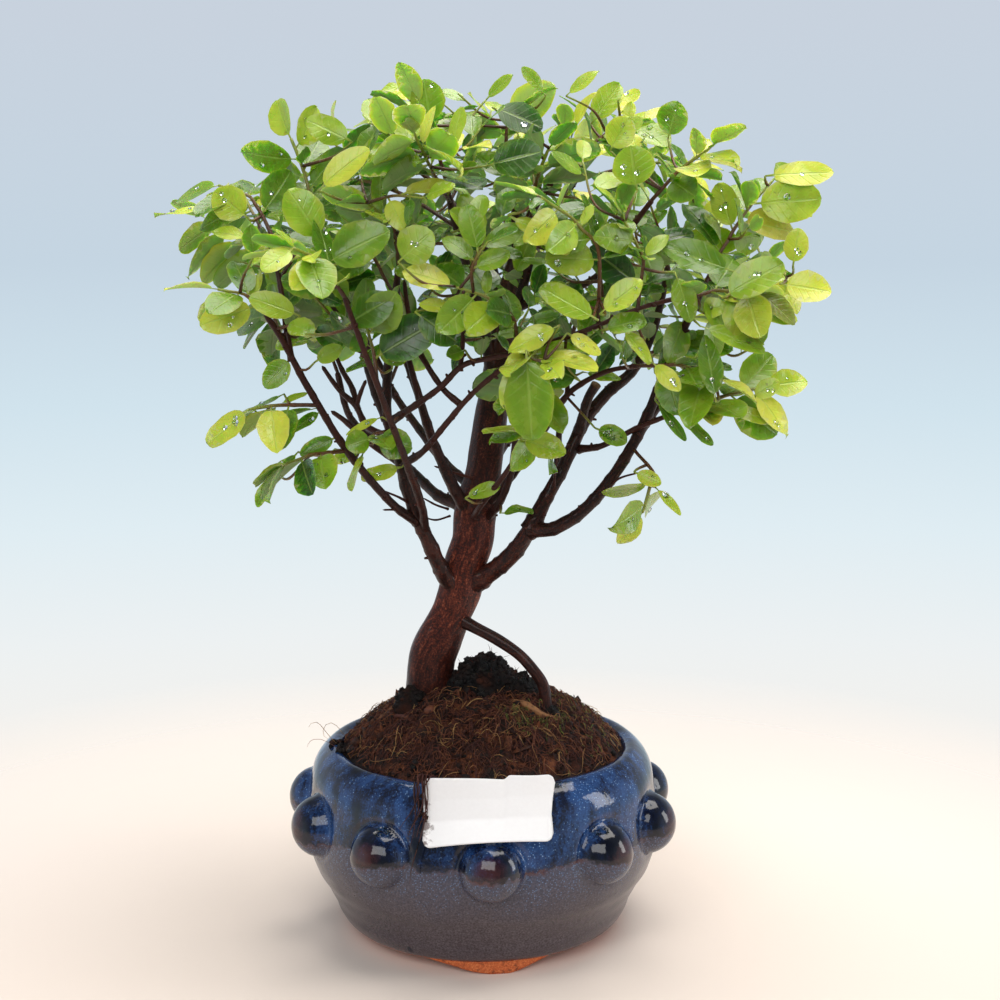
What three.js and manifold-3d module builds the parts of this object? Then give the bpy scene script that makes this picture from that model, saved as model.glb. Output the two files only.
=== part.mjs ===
// Sweet plum bonsai in its glazed pot, in millimetres.
// +Z is up, the pot's axis is the Z axis, and its feet stand on z = 0. The front faces -Y.
import * as THREE from 'three';
import { mergeVertices } from 'three/addons/utils/BufferGeometryUtils.js';
import Module from 'manifold-3d';

const wasm = await Module();
wasm.setup();

// Clearance between pieces that touch: face to face, and where one curves round another. Joins leave
// edges shorter than SHORT_EDGE, which close up.
const GAP = 0.3;
const ROUND_GAP = 0.36;
const SHORT_EDGE = 0.012;

// Pot: radius and height pairs of the outside from the foot edge to the rim's crest, then the inside
const POT_SIDES = 26;
const POT_OUTSIDE = [[0, 4], [50.5, 4], [54.2, 6], [59.2, 16.5], [65.6, 28], [68, 40], [66.9, 54],
  [65.2, 64], [62.2, 69], [58.2, 72]];
const POT_INSIDE = [[0, 11], [46, 11], [59.6, 30], [60.6, 46], [54.6, 68]];
const RIM_INNER_EDGE = [55, 71.2];
const ABOVE_POT = 76;
const DRAIN = { radius: 6, sides: 8 };

// Foot: a block under the pot's front, with the places of its left and right ends at its bottom and its top
const FOOT = { outer: 53, inner: 40, bottom: [0.3, 12.5], top: [-22, 26], height: 5, count: 3 };

// Bosses: pressed on by hand round the pot's widest part, with each one's degrees from the front and height
const BOSS = { radius: 11.6, ring: 65.2, sides: 8, rings: 6 };
const BOSSES = [[3.2, 44.6], [41.6, 45], [71, 46.3], [106, 46.5], [143, 46], [180, 46], [-133, 46.5],
  [-97, 47], [-66.5, 46.7], [-32.6, 46.3]];

// Soil: mounded towards the trunk, with a clump of peat between the trunk and its aerial root
const SOIL = { edge: 69.5, crown: 93.5, steepness: 2.3, bottom: 11 + GAP, top_rings: 4, lump: 1.3,
  flat_rim: 14 };
const PEAT = { centre: [3.5, -1, 91], size: [16.5, 12, 15.5] };

// Label: a blank tag of thin card on the pot's front. It is given by the degrees of its left and right
// ends at its bottom and at its top, and by the radius of each row from its bottom edge, which lies over
// the front boss, to its top edge, which stands free above the rim.
const LABEL = { thickness: 0.7, left: [-16.6, -18.8], right: [20.9, 23.8], bottom: 54.3, top: 76.6,
  radii: [70.6, 66, 64.4, 63.6], corner: 1.6, columns: 6, curl: 0.5, wave: 0.8, bow: 2.3, lean: 2 };

// Trunk, aerial root and limbs: points with a radius each, hand-picked along what the tree shows
const TRUNK_SIDES = 12;
const TRUNK_STEPS = 17;
const ROOT_SIDES = 6;
const ROOT_STEPS = 8;
const TRUNK = [[-22, 3, 62, 9], [-22, 3, 75, 11.6], [-22, 3, 82, 10.7], [-21, 3, 91, 9.9], [-20, 3, 104, 9.4],
  [-16, 3, 114, 9], [-12, 3, 123, 8.1], [-9, 3, 131, 8.4], [-7, 3, 141, 8.1], [-4, 3, 150, 7.8],
  [-3, 4, 160, 7.9], [0, 5, 174, 7.3], [2, 5, 188, 6.7], [4, 6, 203, 6.3], [6, 7, 217, 5.6],
  [8, 8, 231, 4.7], [10, 10, 246, 3.7], [13, 11, 259, 2.6], [14, 12, 268, 1.9]];
const AERIAL_ROOT = [[-12, 2, 121, 2.8], [-3, -2, 117, 2.7], [6, -6, 113, 2.9], [14, -9, 108, 2.8],
  [19, -11, 103, 2.8], [23, -12, 97, 2.8], [24, -13, 90, 3], [24, -13, 78, 3.4]];
const LIMBS = {
  left_main: [[-9, 2, 130, 3.6], [-15, -4, 139, 3.2], [-19, -9, 149, 2.9], [-24, -14, 161, 2.6],
    [-28, -18, 175, 2.4], [-29, -20, 183, 2.2]],
  left_up: [[-28, -19, 177, 2.2], [-32, -22, 191, 1.9], [-34, -24, 199, 1.8], [-34, -26, 210, 1.8],
    [-33, -28, 222, 1.6], [-31, -30, 237, 1.4], [-29, -32, 254, 1.2]],
  left_stub: [[-34, -24, 199, 1.8], [-38, -20, 207, 1.7], [-43, -14, 222, 1.6]],
  left_long: [[-24, -14, 160, 1.9], [-31, -21, 166, 1.6], [-42, -30, 180, 1.5], [-50, -34, 192, 1.4],
    [-61, -39, 212, 1.3], [-70, -42, 230, 1.2], [-75, -43, 238, 1]],
  left_edge: [[-66, -41, 221, 1.2], [-68, -39, 232, 1.1], [-70, -36, 246, 1], [-74, -33, 266, 0.9]],
  left_back: [[-5, 6, 162, 2.6], [-16, 13, 165, 2.3], [-25, 24, 171, 2], [-37, 38, 180, 1.8],
    [-54, 50, 192, 1.5], [-60, 56, 211, 1.2]],
  left_inner: [[-5, 2, 160, 2.6], [-11, -5, 172, 2.3], [-18, -10, 189, 1.9], [-23, -13, 206, 1.6],
    [-29, -15, 225, 1.4], [-33, -12, 245, 1.1]],
  left_rear: [[-2, 8, 168, 2.2], [-14, 19, 177, 1.9], [-25, 32, 189, 1.7], [-36, 43, 203, 1.5],
    [-47, 52, 224, 1.2]],
  left_front: [[-21, -11, 155, 1.8], [-22, -25, 168, 1.6], [-26, -39, 184, 1.4], [-32, -52, 204, 1.2],
    [-39, -62, 226, 1], [-45, -67, 244, 0.9]],
  cross_short: [[-29, -20, 182, 1.6], [-21, -31, 188, 1.3], [-13, -39, 198, 1.1], [-3, -47, 210, 1],
    [7, -53, 219, 0.9]],
  cross_long: [[-33, -24, 198, 1.6], [-22, -36, 206, 1.2], [-14, -42, 212, 1.1], [-6, -48, 220, 1],
    [8, -56, 224, 1], [34, -61, 232, 0.9], [54, -59, 240, 0.8], [66, -56, 243, 0.8]],
  cross_twig: [[-7, -47, 218, 0.9], [-6, -49, 232, 0.8], [-8, -51, 244, 0.7]],
  front_thin: [[-4, 1, 158, 1.4], [-1, -14, 165, 1.1], [7, -24, 177, 1], [17, -31, 192, 0.9]],
  beside_trunk: [[1, 2, 158, 1.7], [7, -9, 167, 1.5], [11, -13, 179, 1.3], [13, -16, 202, 1.1]],
  right_inner: [[2, 2, 164, 1.9], [11, -8, 176, 1.6], [22, -18, 193, 1.3], [32, -26, 209, 1.1],
    [45, -33, 217, 0.9], [56, -36, 219, 0.8]],
  inner_twig: [[31, -25, 208, 0.9], [31, -26, 217, 0.8], [32, -28, 228, 0.7]],
  right_main: [[-5, 2, 133, 3.8], [4, -2, 139, 3.6], [12, -6, 147, 3.4], [20, -9, 159, 3]],
  right_up: [[18, -8, 156, 3], [24, -9, 168, 2.7], [31, -8, 181, 2.5], [38, -5, 196, 2.5],
    [46, -4, 206, 2.2], [56, -3, 215, 2], [62, -2, 225, 1.7], [67, 0, 242, 1.3], [69, 1, 254, 1.1]],
  right_stub: [[36, -6, 192, 2], [39, -12, 205, 1.8], [42, -15, 211, 1.7]],
  right_low: [[18, -8, 156, 2.8], [26, -13, 157, 2.6], [37, -16, 164, 2.4], [48, -18, 177, 2.2],
    [58, -21, 195, 2.1], [65, -24, 213, 1.8], [73, -27, 233, 1.4], [80, -29, 249, 1.1]],
  right_side: [[36, -6, 186, 1.6], [44, -13, 188, 1.2], [57, -23, 196, 1], [69, -32, 202, 0.8]],
  right_dark: [[28, -8, 175, 1.6], [29, 4, 189, 1.3], [30, 10, 201, 1.2]],
  right_far: [[57, -20, 193, 1.6], [67, -12, 205, 1.4], [80, -3, 219, 1.2], [92, 4, 235, 1],
    [98, 7, 248, 0.9]],
  right_back: [[0, 6, 172, 2.5], [9, 20, 186, 2.2], [23, 32, 199, 2], [36, 44, 215, 1.8], [48, 53, 234, 1.5],
    [55, 57, 248, 1.3]],
  back: [[-1, 5, 168, 2.3], [2, 31, 187, 2], [6, 46, 206, 1.9], [10, 60, 232, 1.5], [11, 66, 250, 1.2]],
  top_left: [[4, 5, 212, 2.5], [0, -1, 234, 1.9], [-5, -8, 252, 1.6], [-10, -14, 271, 1.3],
    [-13, -18, 285, 1]],
  top_front: [[6, 7, 222, 2.3], [12, 4, 237, 2], [17, -4, 253, 1.7], [18, -14, 272, 1.3]],
  top_right: [[8, 8, 236, 2], [24, -6, 243, 1.6], [40, -20, 249, 1.3], [52, -31, 266, 1.1],
    [60, -35, 277, 0.9]],
  back_right: [[9, 9, 240, 2], [20, 26, 262, 1.6], [30, 36, 277, 1.3], [41, 44, 294, 1]],
  back_left: [[8, 9, 236, 2], [2, 26, 259, 1.5], [-10, 37, 276, 1.3], [-24, 47, 290, 1]],
  top: [[13, 11, 262, 1.8], [12, 9, 280, 1.5], [9, 7, 299, 1.1]],
  top_far: [[13, 11, 263, 1.7], [24, 5, 282, 1.3], [38, 0, 296, 0.9]],
};
const CUT_LIMBS = ['left_main', 'left_stub', 'right_main', 'right_stub', 'cross_twig', 'right_dark'];
const LIMB = { thick: 2.9, thick_sides: 6, thin_sides: 4, thick_step: 11, thin_step: 17 };
const SPUR = { base_radius: 0.95, tip_radius: 0.85, sides: 3, reach: 1.6, forward: 0.75 };

// Canopy: the egg-shaped space that the shoots reach, and its limits
const CANOPY = { centre: [6, 0, 250], size: [112, 92, 68], shell: 0.82, shoulder: 0.32, targets: 150,
  lowest: -0.5 };
const CANOPY_BOX = { x: 124, y: 96.5, top: 325.5 };
const SHOOT_LIMIT = 52;
const TIP_SHOOT = { length: 27, outward: 0.8 };
const SHOOT_LEAVES = 10;
const SITE = { first: 0.4, last: 0.94, tries: 9, nearest: 20, apart: 7, below: 4, above_cost: 1.5 };

// Shoots that stand out on the tree: the limb each grows from, how far along, and where it ends
const CHOSEN_SHOOTS = [
  { limb: 'left_back', at: 1, to: [-109, 40, 272], leaves: 9 },
  { limb: 'left_edge', at: 1, to: [-92, -30, 282], leaves: 8 },
  { limb: 'left_long', at: 1, to: [-90, -48, 246], leaves: 8 },
  { limb: 'left_long', at: 0.62, to: [-80, -50, 205], leaves: 6 },
  { limb: 'left_long', at: 0.42, to: [-68, -52, 186], leaves: 5 },
  { limb: 'right_far', at: 1, to: [111, -14, 250], leaves: 9 },
  { limb: 'right_low', at: 1, to: [103, -26, 284], leaves: 9 },
  { limb: 'right_side', at: 1, to: [99, -40, 212], leaves: 8 },
  { limb: 'right_low', at: 0.42, to: [58, -32, 166], leaves: 4 },
  { limb: 'front_thin', at: 1, to: [19, -48, 196], leaves: 5 },
  { limb: 'beside_trunk', at: 1, to: [16, -30, 212], leaves: 5 },
  { limb: 'left_up', at: 0.22, to: [-42, -34, 188], leaves: 3 },
  { limb: 'top', at: 1, to: [14, 3, 311], leaves: 9 },
  { limb: 'top_far', at: 1, to: [58, -4, 306], leaves: 9 },
];

// Leaves: an oval blade that runs to a point at each end and is sunk into its stem, and the stations along
// it where its sides turn, each with its share of the width
const LEAF = { length: [18, 25], width_share: 0.58, width_range: [0.88, 1.14], thickness: 0.66,
  sag: [0.06, 0.2], spacing: 3.9, wander: 0.22, sunk: 0.4, spread: [38, 72], tip_spread: 12,
  droop: [-0.8, 0.15], roll: 38, outward: 0.9, tip_size: 0.8, young_size: 0.86, growth: 0.05,
  shrink: 0.02, along: 0.86 };
const LEAF_STATIONS = [[0.31, 0.9], [0.74, 0.98]];
const STEM = { base_radius: 0.85, tip_radius: 0.6, sides: 3, step: 12, straight: 4, knee: 0.45,
  clear_from: 1.3, wander: 1.6 };
const CLEAR_BASE = 1.2;
const ATTEMPTS = { stem: 14, leaf: 14 };

const MATERIALS = {
  glaze: new THREE.MeshStandardMaterial({ color: '#1d3565', roughness: 0.15, metalness: 0 }),
  soil: new THREE.MeshStandardMaterial({ color: '#3a2417', roughness: 0.95, metalness: 0 }),
  bark: new THREE.MeshStandardMaterial({ color: '#4f2a1c', roughness: 0.7, metalness: 0 }),
  leaf: new THREE.MeshStandardMaterial({ color: '#6f9a2c', roughness: 0.4, metalness: 0 }),
  card: new THREE.MeshStandardMaterial({ color: '#f4f3f0', roughness: 0.6, metalness: 0 }),
};

const vector = (point) => new THREE.Vector3(point[0], point[1], point[2]);
const mix = (a, b, t) => a + (b - a) * t;
const radians = THREE.MathUtils.degToRad;

// A number from 0 to 1 that depends only on its whole-number keys
function draw(...keys) {
  let hash = 2166136261;
  for (const key of keys) {
    hash = Math.imul(hash ^ key, 16777619);
    hash ^= hash >>> 15;
    hash = Math.imul(hash, 2246822519);
    hash ^= hash >>> 13;
  }
  return (hash >>> 0) / 4294967296;
}

// A closed geometry as a solid for joining and cutting
function solid(geometry) {
  const bare = geometry.clone();
  bare.deleteAttribute('normal');
  bare.deleteAttribute('uv');
  const merged = mergeVertices(bare, 1e-4);
  return new wasm.Manifold(new wasm.Mesh({
    numProp: 3,
    vertProperties: new Float32Array(merged.attributes.position.array),
    triVerts: new Uint32Array(merged.index.array),
  }));
}

// The two ends of an edge shorter than SHORT_EDGE that can close up without pinching the surface, or null
function shortEdge(points, faces) {
  const near = points.map(() => new Set());
  for (const [a, b, c] of faces) {
    near[a].add(b).add(c);
    near[b].add(a).add(c);
    near[c].add(a).add(b);
  }
  for (const face of faces) {
    for (let i = 0; i < 3; i += 1) {
      const [a, b] = [face[i], face[(i + 1) % 3]];
      const shared = [...near[a]].filter((point) => near[b].has(point)).length;
      if (shared === 2 && points[a].distanceTo(points[b]) < SHORT_EDGE) {
        return [a, b];
      }
    }
  }
  return null;
}

// The surface of a solid as a geometry, with its very short edges closed up
function surface(body) {
  const mesh = body.getMesh();
  const points = [];
  for (let i = 0; i < mesh.vertProperties.length; i += 3) {
    points.push(vector(mesh.vertProperties.slice(i, i + 3)));
  }
  let faces = [];
  for (let i = 0; i < mesh.triVerts.length; i += 3) {
    faces.push([...mesh.triVerts.slice(i, i + 3)]);
  }
  for (let edge = shortEdge(points, faces); edge; edge = shortEdge(points, faces)) {
    const [kept, gone] = edge;
    faces = faces
      .map((face) => face.map((point) => (point === gone ? kept : point)))
      .filter((face) => new Set(face).size === 3);
  }
  const used = [...new Set(faces.flat())];
  const place = new Map(used.map((point, i) => [point, i]));
  return indexed(used.map((point) => points[point]), faces.flat().map((point) => place.get(point)));
}

// Points and the triangles between them as a geometry
function indexed(points, triangles) {
  const geometry = new THREE.BufferGeometry();
  const numbers = points.flatMap((point) => point.toArray());
  geometry.setAttribute('position', new THREE.Float32BufferAttribute(numbers, 3));
  geometry.setIndex(triangles);
  return geometry;
}

// A profile of radius and height pairs, turned about the Z axis
function turned(profile) {
  const points = profile.map(([radius, height]) => new THREE.Vector2(radius, height));
  return new THREE.LatheGeometry(points, POT_SIDES).rotateX(Math.PI / 2);
}

// A path through points that each carry a radius
class Path {
  constructor(points) {
    this.curve = new THREE.CatmullRomCurve3(points.map(vector), false, 'centripetal');
    this.radii = points.map((point) => point[3]);
    this.length = this.curve.getLength();
  }

  point(u) {
    return this.curve.getPointAt(u);
  }

  // The same place on the straight lines between the rings of a tube with so many steps
  ringPoint(u, steps) {
    const place = Math.min(u * steps, steps - 1e-6);
    const ring = Math.floor(place);
    return this.point(ring / steps).lerp(this.point((ring + 1) / steps), place - ring);
  }

  tangent(u) {
    return this.curve.getTangentAt(u);
  }

  radius(u) {
    const place = this.curve.getUtoTmapping(u) * (this.radii.length - 1);
    const index = Math.min(Math.floor(place), this.radii.length - 2);
    return mix(this.radii[index], this.radii[index + 1], place - index);
  }
}

// A tube of flat-sided rings along a path. extra fattens it, and from skips the first stretch.
function tube(path, sides, steps, { extra = 0, from = 0, flute = () => 1 } = {}) {
  const frames = path.curve.computeFrenetFrames(steps);
  const points = [];
  const triangles = [];
  for (let i = 0; i <= steps; i += 1) {
    const u = mix(from, 1, i / steps);
    const centre = path.point(u);
    const radius = path.radius(u) + extra;
    for (let j = 0; j < sides; j += 1) {
      const angle = (2 * Math.PI * j) / sides;
      const reach = radius * flute(angle, u);
      points.push(centre.clone()
        .addScaledVector(frames.normals[i], reach * Math.cos(angle))
        .addScaledVector(frames.binormals[i], reach * Math.sin(angle)));
    }
  }
  for (let i = 0; i < steps; i += 1) {
    for (let j = 0; j < sides; j += 1) {
      const a = i * sides + j;
      const b = i * sides + ((j + 1) % sides);
      triangles.push(a, b, b + sides, a, b + sides, a + sides);
    }
  }
  const last = steps * sides;
  for (let j = 1; j < sides - 1; j += 1) {
    triangles.push(0, j + 1, j, last, last + j, last + j + 1);
  }
  return indexed(points, triangles);
}

// Pot: a turned bowl with a rounded rim, ten domed bosses, three feet and a drain hole
function potGeometry() {
  const rim = [...POT_OUTSIDE, RIM_INNER_EDGE, POT_INSIDE.at(-1), [0, POT_INSIDE.at(-1)[1]]];
  let pot = solid(turned(rim));
  for (const [degrees, height] of BOSSES) {
    const angle = radians(degrees - 90);
    const boss = new THREE.SphereGeometry(BOSS.radius, BOSS.sides, BOSS.rings);
    boss.rotateX(Math.PI / 2);
    boss.translate(BOSS.ring * Math.cos(angle), BOSS.ring * Math.sin(angle), height);
    pot = pot.add(solid(boss));
  }
  const footprint = solid(turned([[0, 0], [FOOT.outer, 0], [FOOT.outer, FOOT.height], [0, FOOT.height]]));
  for (let i = 0; i < FOOT.count; i += 1) {
    const block = solid(footGeometry().rotateZ((2 * Math.PI * i) / FOOT.count));
    pot = pot.add(footprint.intersect(block));
  }
  const inside = [...POT_INSIDE, [RIM_INNER_EDGE[0], ABOVE_POT], [0, ABOVE_POT]];
  const drain = new THREE.CylinderGeometry(DRAIN.radius, DRAIN.radius, 2 * POT_INSIDE[0][1] + 2, DRAIN.sides);
  drain.rotateX(Math.PI / 2);
  return surface(pot.subtract(solid(turned(inside))).subtract(solid(drain)));
}

// Foot: a block under the pot's front, narrower below, that potGeometry() trims to a round outer face
function footGeometry() {
  const shape = new THREE.Shape([
    new THREE.Vector2(FOOT.bottom[0], 0),
    new THREE.Vector2(FOOT.bottom[1], 0),
    new THREE.Vector2(FOOT.top[1], FOOT.height),
    new THREE.Vector2(FOOT.top[0], FOOT.height),
  ]);
  const foot = new THREE.ExtrudeGeometry(shape, { depth: FOOT.outer - FOOT.inner, bevelEnabled: false });
  return foot.rotateX(Math.PI / 2).translate(0, -FOOT.inner, 0);
}

// Soil: fills the pot to its rim and rises in lumps towards the trunk
function soilGeometry(stems) {
  const wall = POT_INSIDE.map(([radius, height]) => [
    Math.max(radius - ROUND_GAP, 0),
    Math.max(height, SOIL.bottom),
  ]);
  const edge = wall.at(-1)[0];
  const top = [];
  for (let i = 0; i <= SOIL.top_rings; i += 1) {
    const radius = edge * (1 - i / SOIL.top_rings);
    const rise = 1 - (radius / edge) ** SOIL.steepness;
    top.push([radius, mix(SOIL.edge, SOIL.crown, rise)]);
  }
  const ground = turned([...wall, ...top]);
  const position = ground.attributes.position;
  for (let i = 0; i < position.count; i += 1) {
    const [x, y, z] = [position.getX(i), position.getY(i), position.getZ(i)];
    const inward = THREE.MathUtils.smoothstep(edge - Math.hypot(x, y), 0, SOIL.flat_rim);
    const lump = Math.sin(x * 0.21 + 1) * Math.cos(y * 0.24) + 0.6 * Math.sin(x * 0.43 - y * 0.37);
    position.setZ(i, z > SOIL.edge - 1 ? z + SOIL.lump * inward * lump : z);
  }
  const peat = new THREE.IcosahedronGeometry(1, 1);
  const points = peat.attributes.position;
  for (let i = 0; i < points.count; i += 1) {
    const p = new THREE.Vector3().fromBufferAttribute(points, i);
    const swell = 1 + 0.1 * Math.sin(5 * p.x + 2 * p.z) + 0.09 * Math.cos(6 * p.y - 3 * p.x);
    points.setXYZ(i, p.x * swell, p.y * swell, p.z * swell);
  }
  peat.scale(...PEAT.size).translate(...PEAT.centre);
  let soil = solid(ground).add(solid(peat));
  for (const stem of stems) {
    soil = soil.subtract(stem);
  }
  return surface(soil);
}

// Label: a bent plate, wavy at its top edge and with rounded corners
function labelGeometry() {
  const { columns, radii } = LABEL;
  const rows = radii.length - 1;
  const points = [];
  const triangles = [];
  const half = (columns + 1) * (rows + 1);
  for (const side of [0, 1]) {
    for (let j = 0; j <= rows; j += 1) {
      for (let i = 0; i <= columns; i += 1) {
        const across = i / columns;
        const up = j / rows;
        const angle = radians(mix(mix(...LABEL.left, up), mix(...LABEL.right, up), across) - 90);
        const curl = LABEL.curl * up * up * Math.sin(7 * across + 0.6);
        const radius = radii[j] + curl + side * LABEL.thickness;
        const cut = i % columns === 0 ? LABEL.corner * (up - 0.5) : 0;
        const topWave = LABEL.wave * Math.sin(5 * across);
        const bottomLine = LABEL.bow * 4 * across * (1 - across) + LABEL.lean * (across - 0.5);
        const height = mix(LABEL.bottom + bottomLine, LABEL.top + topWave, up) - cut;
        points.push(new THREE.Vector3(radius * Math.cos(angle), radius * Math.sin(angle), height));
      }
    }
  }
  const at = (side, i, j) => side * half + j * (columns + 1) + i;
  for (let j = 0; j < rows; j += 1) {
    for (let i = 0; i < columns; i += 1) {
      triangles.push(at(1, i, j), at(1, i + 1, j), at(1, i + 1, j + 1));
      triangles.push(at(1, i, j), at(1, i + 1, j + 1), at(1, i, j + 1));
      triangles.push(at(0, i, j), at(0, i + 1, j + 1), at(0, i + 1, j));
      triangles.push(at(0, i, j), at(0, i, j + 1), at(0, i + 1, j + 1));
    }
  }
  const loop = [];
  for (let i = 0; i < columns; i += 1) {
    loop.push([i, 0]);
  }
  for (let j = 0; j < rows; j += 1) {
    loop.push([columns, j]);
  }
  for (let i = columns; i > 0; i -= 1) {
    loop.push([i, rows]);
  }
  for (let j = rows; j > 0; j -= 1) {
    loop.push([0, j]);
  }
  loop.forEach(([i, j], k) => {
    const [m, n] = loop[(k + 1) % loop.length];
    triangles.push(at(0, i, j), at(0, m, n), at(1, m, n));
    triangles.push(at(0, i, j), at(1, m, n), at(1, i, j));
  });
  return indexed(points, triangles);
}

// One leaf blade: base and tip are single points, and the sides between them are split alike on both faces.
// It starts at base along direction, faces normal, and sags away from it towards the tip.
function bladeGeometry({ base, direction, normal, length, width, sag }, extra = 0) {
  const side = normal.clone().cross(direction);
  const reach = length + 2 * extra;
  const start = extra > 0 ? CLEAR_BASE : 0;
  const middle = (t) => base.clone()
    .addScaledVector(direction, mix(start, reach, t))
    .addScaledVector(normal, -sag * length * t * t);
  const lift = LEAF.thickness / 2 + extra;
  const points = [middle(0)];
  for (const [t, share] of LEAF_STATIONS) {
    for (const [s, n] of [[-1, 1], [1, 1], [-1, -1], [1, -1]]) {
      points.push(middle(t)
        .addScaledVector(side, s * (share * width * 0.5 + extra))
        .addScaledVector(normal, n * lift));
    }
  }
  points.push(middle(1));
  const rt = (i) => 1 + 4 * i;
  const lt = (i) => 2 + 4 * i;
  const rb = (i) => 3 + 4 * i;
  const lb = (i) => 4 + 4 * i;
  const tip = points.length - 1;
  const triangles = [0, rt(0), lt(0), 0, lb(0), rb(0), 0, rb(0), rt(0), 0, lt(0), lb(0)];
  const end = LEAF_STATIONS.length - 1;
  for (let i = 0; i < end; i += 1) {
    const k = i + 1;
    triangles.push(rt(i), rt(k), lt(k), rt(i), lt(k), lt(i));
    triangles.push(rb(i), lb(k), rb(k), rb(i), lb(i), lb(k));
    triangles.push(rb(i), rb(k), rt(k), rb(i), rt(k), rt(i));
    triangles.push(lb(k), lb(i), lt(i), lb(k), lt(i), lt(k));
  }
  triangles.push(rt(end), tip, lt(end), rb(end), lb(end), tip);
  triangles.push(rb(end), tip, rt(end), tip, lb(end), lt(end));
  return indexed(points, triangles);
}

// What stands in the canopy so far, with boxes so that far pieces are passed over quickly
class Neighbours {
  constructor() {
    this.items = [];
  }

  add(body, owner) {
    this.items.push({ body, owner, box: body.boundingBox() });
  }

  // Whether a solid touches anything that belongs to another owner
  meets(body, owner) {
    const box = body.boundingBox();
    return this.items.some((item) => item.owner !== owner
      && [0, 1, 2].every((k) => item.box.min[k] <= box.max[k] && item.box.max[k] >= box.min[k])
      && !item.body.intersect(body).isEmpty());
  }
}

const isThick = (path) => path.radii[0] > LIMB.thick;
const limbSides = (path) => (isThick(path) ? LIMB.thick_sides : LIMB.thin_sides);
const stepsAlong = (path, step) => Math.max(2, Math.round(path.length / step));
const limbSteps = (path) => stepsAlong(path, isThick(path) ? LIMB.thick_step : LIMB.thin_step);
const stemSteps = (path) => stepsAlong(path, STEM.step);

// The trunk's section isn't round: three broad ribs and five faint ones run up it
const trunkFlute = (angle) => 1 + 0.06 * Math.sin(3 * angle + 0.8) + 0.04 * Math.sin(5 * angle);

const spurSolid = (spur, extra = 0) => solid(tube(spur, SPUR.sides, 1, { extra }));

// The place on a limb where a shoot starts: a short spur, or the limb's own tip
function spurFrom(path, at, target) {
  const centre = at >= 1 ? path.point(1) : path.ringPoint(at, limbSteps(path));
  const tangent = path.tangent(at);
  const toward = vector(target).sub(centre).normalize();
  if (at >= 1) {
    return { start: centre.clone().addScaledVector(tangent, GAP), direction: tangent, spur: null };
  }
  const sideways = toward.clone().addScaledVector(tangent, -toward.dot(tangent)).normalize();
  const direction = sideways.addScaledVector(tangent, SPUR.forward).normalize();
  const slant = Math.hypot(1, SPUR.forward);
  const end = centre.clone().addScaledVector(direction, path.radius(at) * slant + SPUR.reach);
  const spur = new Path([[...centre.toArray(), SPUR.base_radius], [...end.toArray(), SPUR.tip_radius]]);
  return { start: end.clone().addScaledVector(direction, GAP), direction, spur };
}

// The stem of a shoot: leaves its start straight on, then bends to its end
function stemPath(start, direction, end) {
  const span = end.distanceTo(start);
  const first = start.clone().addScaledVector(direction, Math.min(STEM.straight, span * 0.2));
  const knee = start.clone().addScaledVector(direction, span * STEM.knee).lerp(end, 0.3);
  const places = [start, first, knee, end];
  return new Path(places.map((p, i) => [...p.toArray(), mix(STEM.base_radius, STEM.tip_radius, i / 3)]));
}

// Where the shoots end: points spread evenly over the upper part of the canopy's shell
function canopyTargets() {
  const targets = [];
  const turn = Math.PI * (3 - Math.sqrt(5));
  for (let i = 0; i < CANOPY.targets; i += 1) {
    const height = mix(0.97, CANOPY.lowest, (i + 0.5) / CANOPY.targets);
    const reach = Math.sqrt(1 - height * height);
    const shell = CANOPY.shell * mix(0.9, 1.05, draw(5, i)) * (1 + CANOPY.shoulder * height * reach);
    const unit = [reach * Math.cos(turn * i), reach * Math.sin(turn * i), height];
    targets.push(CANOPY.centre.map((c, k) => c + unit[k] * CANOPY.size[k] * shell));
  }
  return targets;
}

// The best free place on a limb for a shoot to a target: near it, not above it and not crowded
function nearestSite(limbs, target, taken) {
  let best = null;
  for (const [name, path] of Object.entries(limbs)) {
    if (CUT_LIMBS.includes(name)) continue;
    for (let k = 0; k <= SITE.tries; k += 1) {
      const at = mix(SITE.first, SITE.last, k / SITE.tries);
      const place = path.point(at);
      const distance = place.distanceTo(vector(target));
      const crowd = taken.some((p) => p.distanceTo(place) < SITE.apart);
      const cost = distance + SITE.above_cost * Math.max(0, place.z - target[2] + SITE.below);
      if (!crowd && distance > SITE.nearest && (!best || cost < best.cost)) {
        best = { name, at, place, cost };
      }
    }
  }
  return best;
}

// All shoots: those chosen by hand, one at each growing tip, and then others where the canopy is thin
function planShoots(limbs) {
  const shoots = CHOSEN_SHOOTS.map((shoot) => ({ ...shoot }));
  for (const [name, path] of Object.entries(limbs)) {
    if (CUT_LIMBS.includes(name) || shoots.some((s) => s.limb === name && s.at === 1)) continue;
    const tip = path.point(1);
    const outward = tip.clone().sub(vector(CANOPY.centre)).normalize();
    const heading = path.tangent(1).addScaledVector(outward, TIP_SHOOT.outward).normalize();
    const to = tip.addScaledVector(heading, TIP_SHOOT.length).toArray();
    shoots.push({ limb: name, at: 1, to, leaves: SHOOT_LEAVES });
  }
  const taken = shoots.map((shoot) => limbs[shoot.limb].point(shoot.at));
  const ends = shoots.map((shoot) => vector(shoot.to));
  const targets = canopyTargets().map(vector);
  while (shoots.length < SHOOT_LIMIT) {
    const room = targets.map((target) => Math.min(...ends.map((end) => end.distanceTo(target))));
    const target = targets[room.indexOf(Math.max(...room))];
    const site = nearestSite(limbs, target.toArray(), taken);
    ends.push(target);
    if (!site) continue;
    shoots.push({ limb: site.name, at: site.at, to: target.toArray(), leaves: SHOOT_LEAVES });
    taken.push(site.place);
  }
  return shoots;
}

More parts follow.
